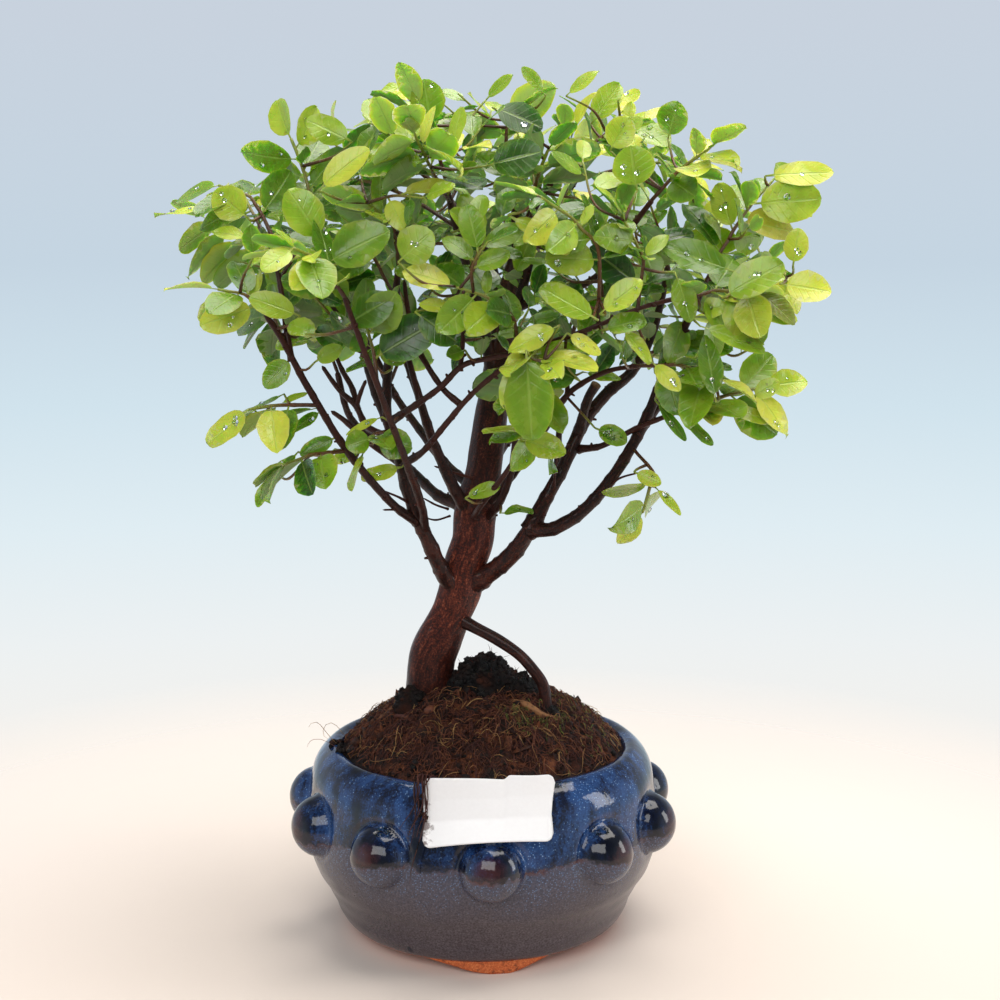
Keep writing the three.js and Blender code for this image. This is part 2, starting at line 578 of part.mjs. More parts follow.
// Whether a box lies inside the canopy's limits
function inCanopy({ min, max }) {
  const { x, y, top } = CANOPY_BOX;
  return Math.max(-min[0], max[0]) < x && Math.max(-min[1], max[1]) < y && max[2] < top;
}

// Leaf k of a shoot, counted back from its tip: alternate sides, facing up and outward. Each try has its
// own draws for its turn, droop and roll, and is a little smaller than the one before.
function leafTry(shoot, k, attempt) {
  const { path, index } = shoot;
  const roll = (channel) => draw(index, k, attempt, channel);
  const terminal = k === 0;
  const back = terminal ? LEAF.sunk : LEAF.spacing * (k + mix(-LEAF.wander, LEAF.wander, draw(index, k, 7)));
  const u = 1 - back / path.length;
  const base = path.ringPoint(u, stemSteps(path));
  const tangent = path.tangent(u);
  const outward = base.clone().sub(vector(CANOPY.centre)).divide(vector(CANOPY.size));
  const up = new THREE.Vector3(0, 0, 1).addScaledVector(outward, LEAF.outward);
  up.addScaledVector(tangent, -up.dot(tangent)).normalize();
  const side = tangent.clone().cross(up).multiplyScalar(k % 2 ? 1 : -1);
  const spread = terminal ? mix(-LEAF.tip_spread, LEAF.tip_spread, roll(1)) : mix(...LEAF.spread, roll(1));
  const angle = radians(spread);
  const direction = tangent.clone().multiplyScalar(Math.cos(angle))
    .addScaledVector(side, Math.sin(angle))
    .addScaledVector(up, mix(...LEAF.droop, roll(2)))
    .normalize();
  const normal = up.clone().addScaledVector(direction, -up.dot(direction)).normalize();
  normal.applyAxisAngle(direction, radians(mix(-LEAF.roll, LEAF.roll, roll(3))));
  const age = terminal ? LEAF.tip_size : Math.min(1, LEAF.young_size + LEAF.growth * k);
  const length = mix(...LEAF.length, draw(index, k, 8)) * age * (1 - LEAF.shrink * attempt);
  const width = length * LEAF.width_share * mix(...LEAF.width_range, draw(index, k, 9));
  return { base, direction, normal, length, width, sag: mix(...LEAF.sag, roll(4)) };
}

// A stem for one planned shoot, clear of the limbs and of the other stems, or null where none fits
function growStem(plan, index, limbs, neighbours, shoots) {
  for (let attempt = 0; attempt < ATTEMPTS.stem; attempt += 1) {
    const wander = attempt * STEM.wander;
    const shift = [11, 12, 13].map((channel) => mix(-wander, wander, draw(index, attempt, channel)));
    const end = vector(plan.to).add(vector(shift));
    const { start, direction, spur } = spurFrom(limbs[plan.limb], plan.at, end.toArray());
    const path = stemPath(start, direction, end);
    const from = STEM.clear_from / path.length;
    const fat = solid(tube(path, STEM.sides, stemSteps(path), { extra: ROUND_GAP, from }));
    const spurFat = spur && spurSolid(spur, ROUND_GAP);
    const blocked = spurFat && shoots.some((other) => !other.body.intersect(spurFat).isEmpty());
    if (!blocked && !neighbours.meets(fat, index)) {
      return { plan, index, path, spur, body: solid(tube(path, STEM.sides, stemSteps(path))), blades: [] };
    }
  }
  return null;
}

// One more leaf on a shoot, clear of everything else, or nothing where none fits
function growLeaf(shoot, k, neighbours) {
  for (let attempt = 0; attempt < ATTEMPTS.leaf; attempt += 1) {
    const leaf = leafTry(shoot, k, attempt);
    const fat = solid(bladeGeometry(leaf, ROUND_GAP));
    const body = solid(bladeGeometry(leaf));
    const free = inCanopy(body.boundingBox())
      && !neighbours.meets(fat, shoot.index)
      && shoot.blades.every((other) => other.intersect(fat).isEmpty());
    if (free) {
      neighbours.add(body, shoot.index);
      shoot.blades.push(body);
      return;
    }
  }
}

// Shoots: all the stems first, and then one leaf on each in turn, from its tip down
function growShoots(limbs, treeParts) {
  const neighbours = new Neighbours();
  treeParts.forEach((body) => neighbours.add(body, 'tree'));
  const shoots = [];
  planShoots(limbs).forEach((plan, index) => {
    const shoot = growStem(plan, index, limbs, neighbours, shoots);
    if (!shoot) return;
    shoots.push(shoot);
    neighbours.add(shoot.body, index);
    if (shoot.spur) neighbours.add(spurSolid(shoot.spur), 'tree');
  });
  for (let k = 0; k < SHOOT_LEAVES; k += 1) {
    shoots
      .filter(({ plan, path }) => k < plan.leaves && LEAF.spacing * k < path.length * LEAF.along)
      .forEach((shoot) => growLeaf(shoot, k, neighbours));
  }
  return shoots;
}

// Tree: trunk, aerial root, limbs and spurs, all one piece of wood
function treeGeometry(parts) {
  return surface(parts.reduce((tree, part) => tree.add(part)));
}

// A named piece of the object
function mesh(name, geometry, material) {
  const item = new THREE.Mesh(geometry, material);
  item.name = name;
  return item;
}

const bonsai = new THREE.Group();
const trunk = new Path(TRUNK);
const root = new Path(AERIAL_ROOT);
const limbs = Object.fromEntries(Object.entries(LIMBS).map(([name, points]) => [name, new Path(points)]));
const wood = [
  solid(tube(trunk, TRUNK_SIDES, TRUNK_STEPS, { flute: trunkFlute })),
  solid(tube(root, ROOT_SIDES, ROOT_STEPS)),
  ...Object.values(limbs).map((path) => solid(tube(path, limbSides(path), limbSteps(path)))),
];
const shoots = growShoots(limbs, wood);
const spurs = shoots.filter((shoot) => shoot.spur).map((shoot) => spurSolid(shoot.spur));
const holes = [
  solid(tube(trunk, TRUNK_SIDES, TRUNK_STEPS, { extra: ROUND_GAP, flute: trunkFlute })),
  solid(tube(root, ROOT_SIDES, ROOT_STEPS, { extra: ROUND_GAP })),
];

bonsai.add(mesh('pot', potGeometry(), MATERIALS.glaze));
bonsai.add(mesh('soil', soilGeometry(holes), MATERIALS.soil));
bonsai.add(mesh('tree', treeGeometry([...wood, ...spurs]), MATERIALS.bark));
bonsai.add(mesh('label', labelGeometry(), MATERIALS.card));
shoots.forEach((shoot, i) => {
  const leafy = shoot.blades.reduce((body, blade) => body.add(blade), shoot.body);
  bonsai.add(mesh(`shoot_${String(i + 1).padStart(2, '0')}`, surface(leafy), MATERIALS.leaf));
});

export default bonsai;
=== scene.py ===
"""Sweet plum bonsai in its glazed pot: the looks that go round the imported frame.

Shapes are worked out in millimetres, with +Z up and the pot's axis on Z, and become metres in piece().
"""

import functools
import math

import bpy
import numpy as np
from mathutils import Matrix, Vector


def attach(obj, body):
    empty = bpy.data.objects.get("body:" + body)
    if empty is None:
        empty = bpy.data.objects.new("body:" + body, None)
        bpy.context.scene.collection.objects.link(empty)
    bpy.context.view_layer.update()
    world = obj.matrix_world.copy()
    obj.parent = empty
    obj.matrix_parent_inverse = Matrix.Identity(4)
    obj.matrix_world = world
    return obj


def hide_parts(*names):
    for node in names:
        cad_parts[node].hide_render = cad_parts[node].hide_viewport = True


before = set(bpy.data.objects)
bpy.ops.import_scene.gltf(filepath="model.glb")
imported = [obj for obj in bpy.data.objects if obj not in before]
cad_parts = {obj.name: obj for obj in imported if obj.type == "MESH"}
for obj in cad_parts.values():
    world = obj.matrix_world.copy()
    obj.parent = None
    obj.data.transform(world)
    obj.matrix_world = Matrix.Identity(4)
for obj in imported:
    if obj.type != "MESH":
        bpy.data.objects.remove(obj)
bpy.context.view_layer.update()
SHOOTS = sorted(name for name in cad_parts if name.startswith("shoot_"))

MM = 0.001
TURN = 2 * math.pi
rng = np.random.default_rng(20)

# Camera: place in mm, how far it looks down, lens and sensor in mm, and its picture's width in pixels
CAMERA = {"place": (6.7, -606.5, 255.7), "down_degrees": 8.42, "lens": 58.2, "sensor": 36, "picture": 1000}

# Pot: radius and height from the drain hole round the outside and back over the rim
POT_PROFILE = [
    (6, 4), (28, 4), (50.5, 4), (54.2, 6), (59.2, 16.5), (65.6, 28), (68, 40), (66.9, 54), (65.2, 64),
    (62.2, 69), (58.2, 72), (55, 71.2), (54.6, 68), (60.6, 46), (59.6, 30), (46, 11), (28, 11), (6, 11)]
# Its mesh: columns, fine and coarse steps along the profile, and where the fine ones begin and end
POT_GRID = {"columns": 540, "fine": 0.75, "coarse": 4, "foot_radius": 47, "soil_line": 64}
# The wall above the bosses, where crumbs stick
UPPER_WALL = POT_PROFILE[7:11]
# The wall: how uneven over which length, its throwing rings' height, pitch, sway and end, and the heights
# below which it stays plain for the feet
WALL = {"uneven": [(0.3, 34), (0.14, 9)], "ring": 0.12, "pitch": 7.5, "sway": (0.8, 30), "ring_top": (24, 34),
        "plain": (7, 12)}
# Bosses: radius, the ring of their middles, the fillet round them, how far they stand out, and the groove
# outside the fillet
BOSS = {"radius": 11.6, "ring": 65.2, "fillet": 0.8, "stand": 9, "groove": 0.4, "groove_wide": 1.1,
        "groove_off": 0.6, "groove_end": 2}
# Each boss's degrees from the front, and its height
BOSSES = [
    (3.2, 44.6), (41.6, 45), (71, 46.3), (106, 46.5), (143, 46), (180, 46), (-133, 46.5), (-97, 47),
    (-66.5, 46.7), (-32.6, 46.3)]
# Feet: outer and inner radius, x of both ends at the bottom and top, height, run into the pot, and finish
FOOT = {"outer": 53, "inner": 40, "bottom": (0.3, 12.5), "top": (-22, 26), "height": 5, "sunk": 1.6,
        "round": 1.0, "edge": 0.09, "spread": 1.3, "power": 6, "uneven": (0.22, 6), "sides": 72, "rows": 14}
# Glaze: where the cobalt ends, and how far that line wanders over which length
GLAZE = {"edge": 44.4, "wander": [(1.7, 16), (1.1, 5)]}
# Dark drops that ran below it: degrees from the front, height and size
DRIPS = [(-84, 11, 1.5), (-80, 18, 1.1), (80, 12, 1.4), (58, 8.5, 1.0), (-28, 7.5, 1.2), (-150, 14, 1.4),
         (130, 20, 1.2)]

# Soil: the mound's edge and crown, its lumps, its grain as height, size, octaves and seed, and the plain
# block below it as radius and height
SOIL = {"edge": 69.5, "crown": 93.5, "steepness": 2.3, "radius": 54.24, "lump": 1.3, "flat_rim": 14,
        "grain": [(1.1, 6, 3, 20), (0.75, 1.9, 2, 30)], "calm_rim": 4, "sides": 300, "rows": 110,
        "block": [(0.5, 11.3), (45, 11.3), (59.2, 30), (60.2, 46), (54.24, 68)]}
# Lumps of black peat, as middle and size: beside the aerial root, and at the trunk's foot
PEAT_CLUMPS = [((0, -1, 91), (13.2, 11.5, 15.2)), ((9.5, -2.5, 88), (11, 9.5, 12)),
               ((17.5, -6, 86), (8, 7, 8)), ((-9, -4, 88), (8, 7, 9)), ((-27, -7, 87), (7.5, 6, 6.5)),
               ((-20, -11, 86), (8, 5, 5)), ((24, -14, 84), (6, 5, 5.5))]
# Their surface: depth and size of lumps and crumbs, and the rows of a clump up to a size and above it
CLUMP = {"swell": [(0.16, 7), (0.12, 3), (0.07, 1.4)], "wide": 10, "rows": (40, 70)}
# Crumbs and chips: how far each is stretched, and its corners moved
CRUMB = {"stretch": (0.6, 1.3), "corner": (0.68, 1.25)}
# How many, the median of their sizes in mm and its spread, their tones, and how thin they are
CRUMBS = (2400, 0.55, 0.45, (0, 0.8), 1.0)
CHIPS = (90, 1.9, 0.25, (0.3, 1.0), 0.25)
CLUMP_CRUMBS = {"count": 1500, "log_size": (-0.3, 0.4), "size": (0.35, 2.0), "tone": (0, 0.3)}
# Crumbs spilt on the rim at the left, and crumbs stuck to the wall beside the tag
SPILT = {"count": 34, "degrees": (-87, -73), "reach": (54.5, 59), "height": 72.3, "size": (0.4, 1.3),
         "tone": (0, 0.5)}
STUCK = {"count": 60, "degrees": (-20, -16.3), "top": 72, "fall": 11, "size": (0.3, 1.1), "tone": (0, 0.8)}
# Fibres on the soil: count, length, height over it, curl, places along each, radius and tone
FIBRES = [(3000, (3, 10), (0.4, 2.1), 1.0, 6, (0.13, 0.25), (0.08, 0.5)),
          (1300, (3, 10), (0.6, 2.3), 1.0, 6, (0.12, 0.23), (0.35, 0.7)),
          (320, (6, 18), (0.7, 2.8), 1.0, 8, (0.1, 0.2), (0.6, 1.0)),
          (70, (12, 26), (0.6, 3.4), 1.5, 8, (0.1, 0.17), (0.3, 1.0))]
# Moss: how many threads, and the middle and spread of their places in x and in y
MOSS = [(220, (34, 9), (4, 15)), (90, (19, 6), (-24, 4))]
MOSS_THREAD = {"length": (2, 4.5), "lift": (0.8, 2), "radius": (0.1, 0.2), "tone": (1.2, 1.8)}
TUFTS = {"count": 260, "length": (1, 3.4), "radius": (0.08, 0.13), "tone": (0.02, 0.4)}
# Fine roots over the rim beside the tag: their line as radius and height, their degrees from the front,
# how low they end, the number and end of the longest, and how far they stray
HANGING = {"line": [(52, 71.5), (57, 74), (61.5, 76.8), (64.3, 77.5), (65.6, 73), (67, 66), (71.2, 57),
                    (72.6, 47), (73.6, 38)],
           "count": 11, "places": 14, "degrees": (-19.4, -15.6), "low": (50, 70), "longest": (8, 40.5),
           "off": (-0.2, 1), "drift": 2, "radius": (0.16, 0.36), "tone": (0.1, 0.4)}
# Fine loose hairs over the pot's left rim
RIM_HAIRS = [[(-54, -8, 71.5), (-56, -9, 73.5), (-58, -10, 76), (-60, -11, 79), (-61.5, -12, 81.5),
              (-63, -12, 82.5), (-65, -12, 82), (-66, -12, 80.5)],
             [(-54, -14, 71.5), (-56, -15, 74), (-58.5, -16, 76), (-61, -16, 77), (-63.5, -16, 77),
              (-65, -15, 76), (-66, -14, 74.5), (-66.5, -13, 73)],
             [(-51, -4, 72), (-54, -4, 76), (-56, -5, 79), (-58, -6, 80.5), (-60, -7, 80), (-61, -8, 78),
              (-60.5, -9, 76), (-59, -9, 75)]]
RIM_HAIR = {"radius": (0.09, 0.14), "tone": (0.2, 0.9)}
# Roots and bits of wood on the soil: x, y, height over the soil, radius and tone
SURFACE_ROOTS = [[(11, -14, -1, 1.5, 0.75), (16, -19, 0.9, 1.4, 0.75), (23, -20, 1.1, 1.2, 0.75),
                  (30, -16, 0.2, 0.8, 0.75)],
                 [(-21, -19, 0.9, 1.5, 0.5), (-19.3, -19.5, 1.3, 1.9, 0.5), (-17.6, -19, 0.8, 1.3, 0.5)],
                 [(-34, -12, 0.3, 0.7, 0.35), (-29, -18, 1.2, 0.8, 0.35), (-24, -26, 0.4, 0.6, 0.35)],
                 [(-22, 6, 1, 3.2, 0.3), (-31, 3, 0.2, 2.4, 0.3), (-39, 5, -1.2, 1.5, 0.3)]]

# Tag: the degrees of its ends at its bottom and top, its heights, the radius of each row, the shape of its
# edges, and its columns and rows
TAG = {"left": (-16.6, -18.8), "right": (20.9, 23.8), "bottom": 54.3, "top": 76.6, "wide": 46,
       "radii": (70.6, 66, 64.4, 63.6), "middle": 0.35, "thickness": 0.34, "corner": 3.2, "curl": 0.5,
       "buckle": 0.25, "wave": 0.8, "bow": 2.3, "lean": 2, "tab": 1.7, "tab_starts": (0.61, 0.66),
       "grid": (61, 37)}

# Trunk, aerial root and limbs: points with a radius each, the same as in the solids
TRUNK = [
    (-22, 3, 62, 9), (-22, 3, 75, 11.6), (-22, 3, 82, 10.7), (-21, 3, 91, 9.9), (-20, 3, 104, 9.4),
    (-16, 3, 114, 9), (-12, 3, 123, 8.1), (-9, 3, 131, 8.4), (-7, 3, 141, 8.1), (-4, 3, 150, 7.8),
    (-3, 4, 160, 7.9), (0, 5, 174, 7.3), (2, 5, 188, 6.7), (4, 6, 203, 6.3), (6, 7, 217, 5.6),
    (8, 8, 231, 4.7), (10, 10, 246, 3.7), (13, 11, 259, 2.6), (14, 12, 268, 1.9)]
AERIAL_ROOT = [
    (-12, 2, 121, 2.8), (-3, -2, 117, 2.7), (6, -6, 113, 2.9), (14, -9, 108, 2.8), (19, -11, 103, 2.8),
    (23, -12, 97, 2.8), (24, -13, 90, 3), (24, -13, 78, 3.4)]
LIMBS = {
    "left_main": [(-9, 2, 130, 3.6), (-15, -4, 139, 3.2), (-19, -9, 149, 2.9), (-24, -14, 161, 2.6),
        (-28, -18, 175, 2.4), (-29, -20, 183, 2.2)],
    "left_up": [(-28, -19, 177, 2.2), (-32, -22, 191, 1.9), (-34, -24, 199, 1.8), (-34, -26, 210, 1.8),
        (-33, -28, 222, 1.6), (-31, -30, 237, 1.4), (-29, -32, 254, 1.2)],
    "left_stub": [(-34, -24, 199, 1.8), (-38, -20, 207, 1.7), (-43, -14, 222, 1.6)],
    "left_long": [(-24, -14, 160, 1.9), (-31, -21, 166, 1.6), (-42, -30, 180, 1.5), (-50, -34, 192, 1.4),
        (-61, -39, 212, 1.3), (-70, -42, 230, 1.2), (-75, -43, 238, 1)],
    "left_edge": [(-66, -41, 221, 1.2), (-68, -39, 232, 1.1), (-70, -36, 246, 1), (-74, -33, 266, 0.9)],
    "left_back": [(-5, 6, 162, 2.6), (-16, 13, 165, 2.3), (-25, 24, 171, 2), (-37, 38, 180, 1.8),
        (-54, 50, 192, 1.5), (-60, 56, 211, 1.2)],
    "left_inner": [(-5, 2, 160, 2.6), (-11, -5, 172, 2.3), (-18, -10, 189, 1.9), (-23, -13, 206, 1.6),
        (-29, -15, 225, 1.4), (-33, -12, 245, 1.1)],
    "left_rear": [(-2, 8, 168, 2.2), (-14, 19, 177, 1.9), (-25, 32, 189, 1.7), (-36, 43, 203, 1.5),
        (-47, 52, 224, 1.2)],
    "left_front": [(-21, -11, 155, 1.8), (-22, -25, 168, 1.6), (-26, -39, 184, 1.4), (-32, -52, 204, 1.2),
        (-39, -62, 226, 1), (-45, -67, 244, 0.9)],
    "cross_short": [(-29, -20, 182, 1.6), (-21, -31, 188, 1.3), (-13, -39, 198, 1.1), (-3, -47, 210, 1),
        (7, -53, 219, 0.9)],
    "cross_long": [(-33, -24, 198, 1.6), (-22, -36, 206, 1.2), (-14, -42, 212, 1.1), (-6, -48, 220, 1),
        (8, -56, 224, 1), (34, -61, 232, 0.9), (54, -59, 240, 0.8), (66, -56, 243, 0.8)],
    "cross_twig": [(-7, -47, 218, 0.9), (-6, -49, 232, 0.8), (-8, -51, 244, 0.7)],
    "front_thin": [(-4, 1, 158, 1.4), (-1, -14, 165, 1.1), (7, -24, 177, 1), (17, -31, 192, 0.9)],
    "beside_trunk": [(1, 2, 158, 1.7), (7, -9, 167, 1.5), (11, -13, 179, 1.3), (13, -16, 202, 1.1)],
    "right_inner": [(2, 2, 164, 1.9), (11, -8, 176, 1.6), (22, -18, 193, 1.3), (32, -26, 209, 1.1),
        (45, -33, 217, 0.9), (56, -36, 219, 0.8)],
    "inner_twig": [(31, -25, 208, 0.9), (31, -26, 217, 0.8), (32, -28, 228, 0.7)],
    "right_main": [(-5, 2, 133, 3.8), (4, -2, 139, 3.6), (12, -6, 147, 3.4), (20, -9, 159, 3)],
    "right_up": [(18, -8, 156, 3), (24, -9, 168, 2.7), (31, -8, 181, 2.5), (38, -5, 196, 2.5),
        (46, -4, 206, 2.2), (56, -3, 215, 2), (62, -2, 225, 1.7), (67, 0, 242, 1.3), (69, 1, 254, 1.1)],
    "right_stub": [(36, -6, 192, 2), (39, -12, 205, 1.8), (42, -15, 211, 1.7)],
    "right_low": [(18, -8, 156, 2.8), (26, -13, 157, 2.6), (37, -16, 164, 2.4), (48, -18, 177, 2.2),
        (58, -21, 195, 2.1), (65, -24, 213, 1.8), (73, -27, 233, 1.4), (80, -29, 249, 1.1)],
    "right_side": [(36, -6, 186, 1.6), (44, -13, 188, 1.2), (57, -23, 196, 1), (69, -32, 202, 0.8)],
    "right_dark": [(28, -8, 175, 1.6), (29, 4, 189, 1.3), (30, 10, 201, 1.2)],
    "right_far": [(57, -20, 193, 1.6), (67, -12, 205, 1.4), (80, -3, 219, 1.2), (92, 4, 235, 1),
        (98, 7, 248, 0.9)],
    "right_back": [(0, 6, 172, 2.5), (9, 20, 186, 2.2), (23, 32, 199, 2), (36, 44, 215, 1.8),
        (48, 53, 234, 1.5), (55, 57, 248, 1.3)],
    "back": [(-1, 5, 168, 2.3), (2, 31, 187, 2), (6, 46, 206, 1.9), (10, 60, 232, 1.5), (11, 66, 250, 1.2)],
    "top_left": [(4, 5, 212, 2.5), (0, -1, 234, 1.9), (-5, -8, 252, 1.6), (-10, -14, 271, 1.3),
        (-13, -18, 285, 1)],
    "top_front": [(6, 7, 222, 2.3), (12, 4, 237, 2), (17, -4, 253, 1.7), (18, -14, 272, 1.3)],
    "top_right": [(8, 8, 236, 2), (24, -6, 243, 1.6), (40, -20, 249, 1.3), (52, -31, 266, 1.1),
        (60, -35, 277, 0.9)],
    "back_right": [(9, 9, 240, 2), (20, 26, 262, 1.6), (30, 36, 277, 1.3), (41, 44, 294, 1)],
    "back_left": [(8, 9, 236, 2), (2, 26, 259, 1.5), (-10, 37, 276, 1.3), (-24, 47, 290, 1)],
    "top": [(13, 11, 262, 1.8), (12, 9, 280, 1.5), (9, 7, 299, 1.1)],
    "top_far": [(13, 11, 263, 1.7), (24, 5, 282, 1.3), (38, 0, 296, 0.9)], }
CUT_LIMBS = ("left_main", "left_stub", "right_main", "right_stub", "cross_twig", "right_dark")
BARE_TWIGS = [[(-24, -14, 164, 0.7), (-29, -19, 169, 0.5), (-36, -24, 173, 0.35)],
              [(-24, -14, 161, 0.7), (-30, -20, 165, 0.5), (-36, -25, 166, 0.35)],
              [(27, -10, 171, 0.6), (27, -14, 179, 0.5), (28, -17, 185, 0.35)],
              [(46, -17, 172, 0.6), (50, -22, 177, 0.45), (57, -27, 180, 0.3)]]
# Limbs: the radius above which one is thick, and the sides and flare of thin and thick ones
LIMB = {"thick": 2.7, "sides": (12, 20), "flare": (0.25, 0.5)}
# Buds and broken twig ends: distance, height, and radius from root to tip
NUB = {"gap": 13, "height": (0.4, 1.2), "radius": (0.8, 0.65, 0.55, 0.4)}
# The trunk's bark, as shares of its radius: broad and faint ribs, flakes and swells with their sizes, and
# how far all of it is drawn in
BARK = {"ribs": (0.05, 0.03), "flakes": (0.045, 2.6), "swells": (0.05, 8), "drawn_in": 0.03}
# A limb's bark as shares of its radius with sizes, and its nodes: share, distance, first place and length
TWIG = {"bark": [(0.09, 1.7), (0.05, 0.8)], "node": 0.12, "apart": 9.5, "first": 4.7, "long": 0.9}

# Leaf solids: thickness, their two stations along and across, and the slack of their edges in mm and degrees
SOLID_LEAF = {"thickness": 0.66, "stations": (0.31, 0.74), "shares": (0.9, 0.98), "slack": 0.02, "turn": 0.6}
# Stems: how wide a solid stem's ends are, the slices that it is read in, how much a leaf's base counts
# there, how far it runs into its limb, its radii and step, and how far young leaves reach
STEM = {"root_ring": 1.7, "tip_ring": 1.6, "slice": 4.5, "leaf_weight": 6.0, "inside": 3.5,
        "radius": (0.78, 0.5), "step": 1.5, "young": 38}
# Fine leaves: stations, places across, the stalk's share and half width, and how they fold, curl and wave
BLADE = {"stations": 10, "across": (-1, -0.52, 0, 0.52, 1), "stalk": 0.13, "stalk_half": 0.34,
         "tip_half": 0.03, "teeth": 0.02, "fold": (0.04, 0.36), "curl": 0.035, "wave": (0.1, 0.7),
         "rib": 0.12, "stalk_rib": 0.25, "under": 0.2}
# The crown's middle and half sizes, for the ends of its twigs and for how pale its leaves are
CROWN = {"centre": (3, 0, 250), "size": (120, 93, 74)}
# How pale a leaf is: always, at its shoot's tip as it is young, with painted light out in the crown, high up
# and at the right, and by chance
TONE = {"always": 0.04, "tip": 0.24, "outer": 0.42, "high": 0.08, "right": 0.12, "chance": 0.24}
# Leaves across from the solids' ones: how far they are turned about the stem, and their share of that size
OPPOSITE = {"degrees": (100, 260), "share": (0.42, 0.7)}
# Leaves on the limbs: from which height, on limbs that end how high, how often, how long, and the share
# left out
ON_LIMB = {"from": 186, "above": 190, "every": 5, "length": (8, 15), "none": 0.35}
# Twigs that fill the crown: count, the share of its size where they end, the lowest ends in its middle and
# at its edge, length, radii, the lowest wood that bears them, tries, and their leaves' length
SPRAY = {"count": 125, "share": (0.5, 0.9), "low_middle": 232, "low_edge": 196, "length": (10, 42),
         "radius": (0.62, 0.5, 0.36), "wood": 178, "tries": 9000, "leaf": (12, 20)}
# Small leaves: width and sag as shares of their length, how far their middles stay apart, and their mesh
SMALL_LEAF = {"width": (0.44, 0.62), "sag": (0.02, 0.18), "seen_sag": (0.02, 0.14), "apart": 4.5,
              "stations": 8, "stalk": 0.15}
# Water drops: count, radius, height as a share of it, and where on a leaf they lie
DROP = {"count": 450, "radius": (0.4, 1.3), "height": 0.5, "along": (0.3, 0.85), "aside": 0.6}
# The most that a leaf may reach: to the left and front, to the right and back, and up
LIMITS = {"low": (-125.5, -97.0), "high": (124.5, 96.5), "top": 331.5}
# The crown in the photograph's pixels, without its single outer leaves: no leaf added between the solids'
# ones, other than those given one by one, ends outside it
CROWN_OUTLINE = [
    (262, 322), (236, 296), (238, 250), (212, 236), (210, 196), (240, 182), (272, 186), (292, 150),
    (306, 112), (342, 94), (398, 84), (432, 76), (462, 88), (520, 84), (560, 72), (604, 72), (650, 88),
    (700, 92), (736, 128), (752, 160), (766, 200), (792, 240), (802, 290), (782, 322), (762, 346),
    (722, 352), (706, 384), (668, 384), (640, 362), (590, 366), (548, 372), (505, 362), (470, 345),
    (425, 328), (380, 330), (330, 335), (290, 335)]
